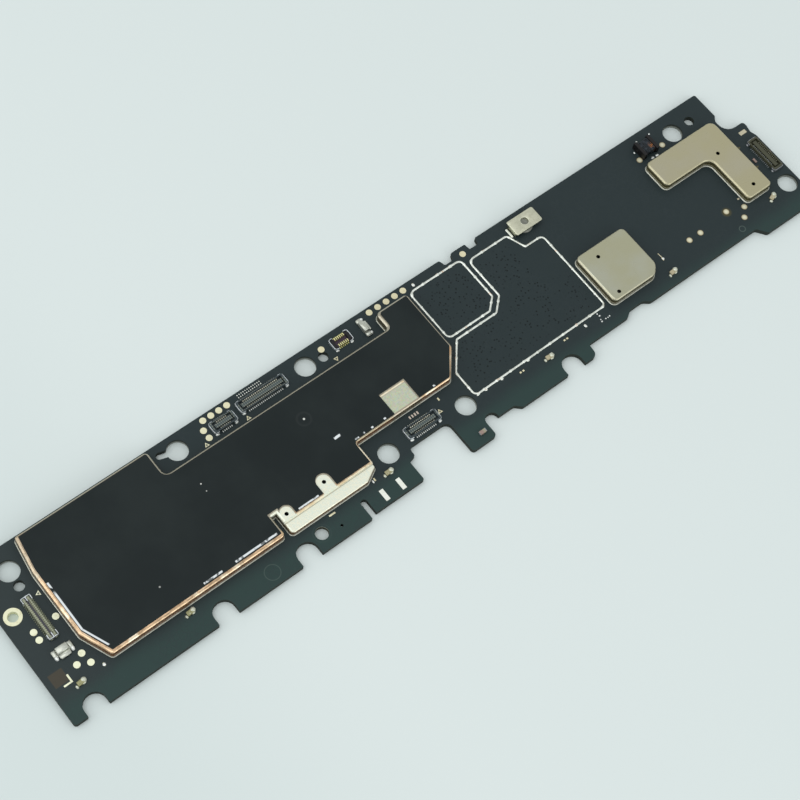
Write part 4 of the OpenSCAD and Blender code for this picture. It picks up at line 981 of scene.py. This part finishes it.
def clipRuns(specs, look):
    runs = []
    corner, grip = look["corner"], look["grip"]
    for name, turn, length, width in specs:
        length, width = length + look["out"], width + look["out"]
        half = [(length - grip, width), (length - corner, width), (length - 0.1, width - 0.12),
                (length, width - corner)]
        for side in (-1, 1):
            hook = [(side * x, -y) for x, y in half] + [(side * x, y) for x, y in reversed(half)]
            runs.append([at(*local(connectors[name], turn, point.x, point.y, look["tall"] / 2))
                         for point in smooth(hook, 4)])
    return runs


def railRuns(spec, look):
    runs = []
    name, turn, length, width = spec
    for side in (-1, 1):
        near, far = side * (length - look["railEnd"]), side * length
        loop = smooth([(near, -width), (far - side * 0.1, -width), (far, -width + 0.15),
                       (far, width - 0.15), (far - side * 0.1, width), (near, width)], 4)
        stem = [Vector((x, 0.0)) for x in (near, near * 0.5 + far * 0.5, far)]
        for run in (loop, stem):
            runs.append([at(*local(connectors[name], turn, point.x, point.y, look["railLevel"]))
                         for point in run])
    return runs


hooked = clipLook["receptacles"] + [clipLook["small"]]
ribbon("connectorClips", paints["clipSheet"],
       clipRuns(hooked, clipLook) + railRuns(clipLook["rail"], clipLook), clipLook, 0.5, 1.0,
       "tinned_sheet", "receptacle_40_holddowns", "receptacle_24_holddowns",
       "receptacle_12_holddowns", "header_12_holddowns", "header_36_holddowns")
ribbon("darkClips", paints["dullSolder"], clipRuns([clipLook["dark"]], clipLook), clipLook, 0.4, 2.0,
       "tinned_sheet", "receptacle_28_holddowns")


def clipDrops(look):
    bright, dull, tails = [], [], []
    for name, turn, length, width in hooked:
        for side in (-1, 1):
            x = side * (length - 0.3)
            bright.append((local(connectors[name], turn, x, -width - 0.16), look["frontDrop"], side * 12))
            # the back drops get the dark solder as painted shade; the front ones stay bright
            dull.append((local(connectors[name], turn, x, width + 0.14), look["backDrop"], 0))
    for side in (-1, 1):
        for y in (-0.75, 0.75):
            bright.append((local(connectors["header_36"], 90, side * 3.25, y), look["railDrop"], 90))
            dull.append((local(connectors["receptacle_28"], 90, side * 3.3, y * 1.5),
                         look["darkDrop"], 90))
    # solder at the outer tails, on the side towards the front edge
    for (name, turn, length, width), count in zip(look["receptacles"], look["tails"]):
        x, y = connectors[name]
        for k in range(count):
            place = (x + (k - (count - 1) / 2) * contactPitch, y - width - 0.17, 0.02)
            tails.append((place, look["tail"], 0))
    layDrops("clipSolder", whiteDrops, bright, 0.14, 12.0)
    layDrops("clipSolderDarkAndShaded", darkAndShadedDrops, dull, 0.12, 13.0)
    layDrops("tailSolder", whiteDrops, tails, 0.06, 14.0)


clipDrops(clipLook)
print("connector clips made")


# Turned edges of the foil at the front wall and the shelf step, painted cream as painted highlights:
# first x, last x, y and height
edgeLook = {"runs": [(61.9, 69.4, 11.6, 1.6), (54.8, 61.2, 7.18, 1.3)], "sheet": 0.16, "tall": 0.04,
            "points": 30}


def turnedEdges(look):
    count = look["points"]
    runs = [[at(x0 + (x1 - x0) * k / count, y, level) for k in range(count + 1)]
            for x0, x1, y, level in look["runs"]]
    ribbon("turnedEdges", paints["creamSheet"], runs, look, 1.2, 6.0, "copper")


turnedEdges(edgeLook)
print("foil edges made")


# Chip capacitors with domed solder ends; a dome has its place, its size and how it varies in turn
chipLook = {"places": [(4.45, 5.0, 5), (23.95, 4.3, 5), (63.05, 4.75, 0), (97.65, 5.35, -5),
                       (125.75, 5.35, 5), (right - 6.7, 6.3, 20)],
            "size": (1.5, 0.86, 0.5),
            "domes": [((0.56, 0.06, 0.22), (0.92, 0.92, 0.7), 0),
                      ((0.34, -0.34, 0.1), (0.7, 0.46, 0.4), 0),
                      ((-0.84, -0.2, 0.06), (0.48, 0.62, 0.5), 0),
                      ((-0.2, -0.2, 0.3), (0.5, 0.34, 0.3), 15)],
            "tab": (79.85, 1.3), "tabSize": (1.1, 0.66, 0.5),
            "tabEnds": [(0.6, (0.22, 0.68, 0.5), 0.07), (-0.58, (0.16, 0.64, 0.4), 0.06)]}


def chips(look):
    length, width, height = look["size"]
    bodies, domes = bmesh.new(), []
    for k, (x, y, turn) in enumerate(look["places"]):
        block(bodies, (x, y), (length * 0.8, width * 0.9, height * 0.9), turn, 0.12, 4)
        for place, size, twist in look["domes"]:
            domes.append((local((x, y), turn, *place), size, turn + twist * (k % 3)))
    settle(finished("chipBodies", bodies, paints["ceramic"]), "chip_ceramic", "capacitor_bodies")
    layDrops("chipSolderDomes", dropRecipe(paints["creamSolder"]), domes, 0.16, 8.0, "capacitor_ends")
    tab, tabEnds = bmesh.new(), bmesh.new()
    x, y = look["tab"]
    block(tab, (x, y), look["tabSize"])
    for along, size, radius in look["tabEnds"]:
        block(tabEnds, (x + along, y), size, 0, radius)
    settle(finished("tabChip", tab, paints["tab"]), "tab_ceramic", "tab_chip_body")
    settle(finished("tabChipEnds", tabEnds, paints["dullSolder"]), "solder", "tab_chip_ends")


chips(chipLook)
print("chips made")


# Ground springs: a base with arched guards and a sprung leaf
springLook = {"edge": ((5.1, 10.55), 0, 1.9), "top": ((76.15, top - 2.75), 90, 1.45),
              "length": 3.4, "height": 1.1, "sheet": 0.12, "baseShare": 0.68, "guardShare": 0.2,
              "leafShare": 0.285, "leafTip": 10, "dropAlong": 1.42}


def groundSpring(name, look):
    (x, y), turn, width = look[name]
    length, height, sheet = look["length"], look["height"], look["sheet"]
    move = Matrix.Translation(at(x, y)) @ Matrix.Rotation(math.radians(turn), 4, "Z")
    build = bmesh.new()
    baseWidth = width * look["baseShare"]
    shift = (width - baseWidth) / 2
    reach = baseWidth / 2 - sheet / 2
    high = height * 0.5 - sheet / 2
    base = [Vector((shift - reach, sheet / 2)), Vector((shift + reach, sheet / 2))]
    bentSheet(build, base, [length / 2] * 2, sheet, move)
    guard = length * look["guardShare"]
    half = [(reach, sheet), (reach, high * 0.6), (reach * 0.6, high)]
    arch = smooth([(shift - y, z) for y, z in half] + [(shift + y, z) for y, z in reversed(half)], 4)
    for side in (-1, 1):
        slide = move @ Matrix.Translation((side * (length - guard) / 2 * mm, 0, 0))
        bentSheet(build, arch, [guard / 2] * len(arch), sheet, slide)
    back = width / 2 - sheet / 2
    leaf = smooth([(0, sheet / 2), (back * 0.9, sheet / 2), (back, height * 0.2), (back, height * 0.72),
                   (back - width * 0.13, height - sheet / 2), (0.0, height * 0.94),
                   (-width * 0.1, height * 0.8), (-width * 0.16, height * 0.5),
                   (-width * 0.28, height * 0.36), (-width * 0.44, height * 0.36),
                   (-width * 0.5, height * 0.24)], 5)
    # the leaf narrows towards its tip
    tipStart = len(leaf) - look["leafTip"]
    halves = [length * look["leafShare"] * (1 - 0.02 * max(k - tipStart, 0)) for k in range(len(leaf))]
    bentSheet(build, leaf, halves, sheet, move)
    settle(finished(name + "Spring", build, paints["springSheet"], 50.0), "tinned_sheet",
           name + "_ground_spring")
    return [(local((x, y), turn, side * look["dropAlong"], -width * 0.18, 0.16),
             (0.66, width * 0.5, 0.7), turn) for side in (-1, 1)]


springDrops = groundSpring("edge", springLook) + groundSpring("top", springLook)
layDrops("springSolder", whiteDrops, springDrops, 0.14, 21.0)
print("springs bent")


# Small plated marks and parts without a CAD node: place, length and width
markLook = {"gold": [((3.5, 6.55), 0.3, 1.5), ((2.75, 5.95), 1.3, 0.3), ((51.4, 4.35), 1.2, 0.3),
                     ((145.3, 9.6), 0.4, 0.3), ((92.0, 6.0), 0.35, 0.3), ((92.6, 6.0), 0.35, 0.3),
                     ((101.9, 6.3), 0.35, 0.3), ((102.5, 6.3), 0.35, 0.3)],
            "slanted": [((126.15, 9.1), 0.16, 1.1)], "slant": 4,
            "dots": [((51.65 + 0.4 * k, 29.87 - 0.46 * row), 0.14, 0.2)
                     for row in (0, 1) for k in range(12)],
            "brown": [((153.1, 13.7), 0.4, 0.9), ((156.6, 13.5), 0.45, 0.6)],
            "height": 0.03, "edge": 0.012, "partHeight": 0.3, "partEdge": 0.05}


def marks(look):
    gold, white, brown = bmesh.new(), bmesh.new(), bmesh.new()
    for build, rows, turn in ((gold, look["gold"], 0), (gold, look["slanted"], look["slant"]),
                              (white, look["dots"], 0)):
        for place, length, width in rows:
            block(build, place, (length, width, look["height"]), turn, look["edge"], 2)
    for place, length, width in look["brown"]:
        block(brown, place, (length, width, look["partHeight"]), 0, look["partEdge"])
    settle(finished("platedMarks", gold, paints["pad"]), "gold_pad")
    settle(finished("tinnedDots", white, paints["tinnedPad"]), "solder")
    settle(finished("edgeCapacitors", brown, paints["tab"]), "tab_ceramic")


marks(markLook)
print("marks laid")


# Clip nut: eased plate, chamfered hole with a rim painted bright as a painted highlight, solder at its
# foot painted dark as painted shade under the plate
nutLook = {"place": (110.75, top - 2.85), "plateHalf": 2.85, "hole": 0.7, "height": 1.3,
           "barSize": (0.4, 1.9, 0.24), "barGap": 0.34,
           # profiles as (out from the hole's edge, up from the plate), then as (radius, height)
           "rim": [(0.0, -0.22), (0.03, -0.22), (0.11, -0.012), (0.09, 0.012), (0.03, -0.03)],
           "plug": [(-0.68, -0.55), (0.0, -0.55), (0.0, -0.4), (-0.4, -0.42), (-0.68, -0.46)],
           "collar": [(1.36, 0.0), (1.62, 0.0), (1.5, 0.07), (1.41, 0.16), (1.36, 0.2)]}


def clipNut(look):
    settle(eased("nutPlate", "clip_nut", 0.07, paints["creamSheet"]), "tinned_sheet", "clip_nut")
    x, y = look["place"]
    high, hole = look["height"], look["hole"]
    rim, plug, collar, bar = bmesh.new(), bmesh.new(), bmesh.new(), bmesh.new()
    turned(rim, (x, y), [(hole + out, high + up) for out, up in look["rim"]])
    turned(plug, (x, y), [(hole + out, high + up) for out, up in look["plug"]])
    turned(collar, (x, y), look["collar"])
    block(bar, (x - look["plateHalf"] - look["barGap"], y), look["barSize"], 0, 0.11, 4)
    # the hole's rim is painted in the bright tinned finish, brighter than the plate: painted highlight
    settle(finished("nutRim", rim, paints["tinnedPad"]), "tinned_sheet")
    settle(finished("nutPlug", plug, paints["nutThread"]), "tinned_sheet")
    # the solder collar under the plate is painted dark: painted shade
    settle(finished("nutCollar", collar, paints["nutThread"]), "solder", "clip_nut_solder")
    settle(finished("nutSolderBar", bar, paints["tinnedPad"]), "solder")


clipNut(nutLook)
print("clip nut made")


# Floor, lights and camera
studio = {"floor": srgb(221, 231, 230), "shade": srgb(210, 222, 221), "floorHalf": 1.5,
          "floorDrop": 0.00003, "world": 0.72, "worldTint": (0.99, 1.0, 1.0, 1),
          "place": (-0.11357174, -0.09330117, 0.28173276),
          "turn": (0.45810216, -0.09522098, -0.67233714), "lens": 86.958, "sensor": 36.0}


def floorFinish(look):
    f = Finish("paleFloor", Roughness=0.9, Specular_IOR_Level=0.0)
    colour = f.mix(f.fall(f.board()[0], -5.0, 45.0, 0.7), look["floor"], look["shade"])
    return f.set(Base_Color=f.mix(f.noise(0.01, 3, 101.0) * 0.1, colour, look["shade"]))


half, drop = studio["floorHalf"], studio["floorDrop"]
floorMesh = bpy.data.meshes.new("floor")
floorMesh.from_pydata([(-half, -half, -drop), (half, -half, -drop), (half, half, -drop),
                       (-half, half, -drop)], [], [(0, 1, 2, 3)])
floorMesh.materials.append(floorFinish(studio).material)
newObject("floor", floorMesh)

world = bpy.data.worlds.new("studio")
bpy.context.scene.world = world
world.use_nodes = True
background = world.node_tree.nodes["Background"]
background.inputs[0].default_value = studio["worldTint"]
background.inputs[1].default_value = studio["world"]

# direction to the lamp, distance, size and power; each is aimed at the board's middle
lamps = {"sideBox": ((-0.886, 0.293, 0.358), 0.8, 0.5, 1.0),
         "frontBox": ((0.2, -0.9, 0.36), 0.8, 0.5, 1.0),
         "topBox": ((-0.3, 0.1, 0.95), 0.8, 0.6, 1.3)}
for name, (direction, distance, size, power) in lamps.items():
    lamp = bpy.data.lights.new(name, "AREA")
    lamp.size, lamp.energy = size, power
    holder = newObject(name, lamp)
    holder.location = Vector(direction).normalized() * distance
    holder.rotation_euler = Vector(direction).to_track_quat("Z", "Y").to_euler()

camera = bpy.data.cameras.new("camera")
camera.lens, camera.sensor_width = studio["lens"], studio["sensor"]
camera.clip_start, camera.clip_end = 0.01, 20
cameraObject = newObject("camera", camera)
cameraObject.location, cameraObject.rotation_euler = studio["place"], studio["turn"]
bpy.context.scene.camera = cameraObject
bpy.context.scene.view_settings.view_transform = "Standard"
print("studio set")
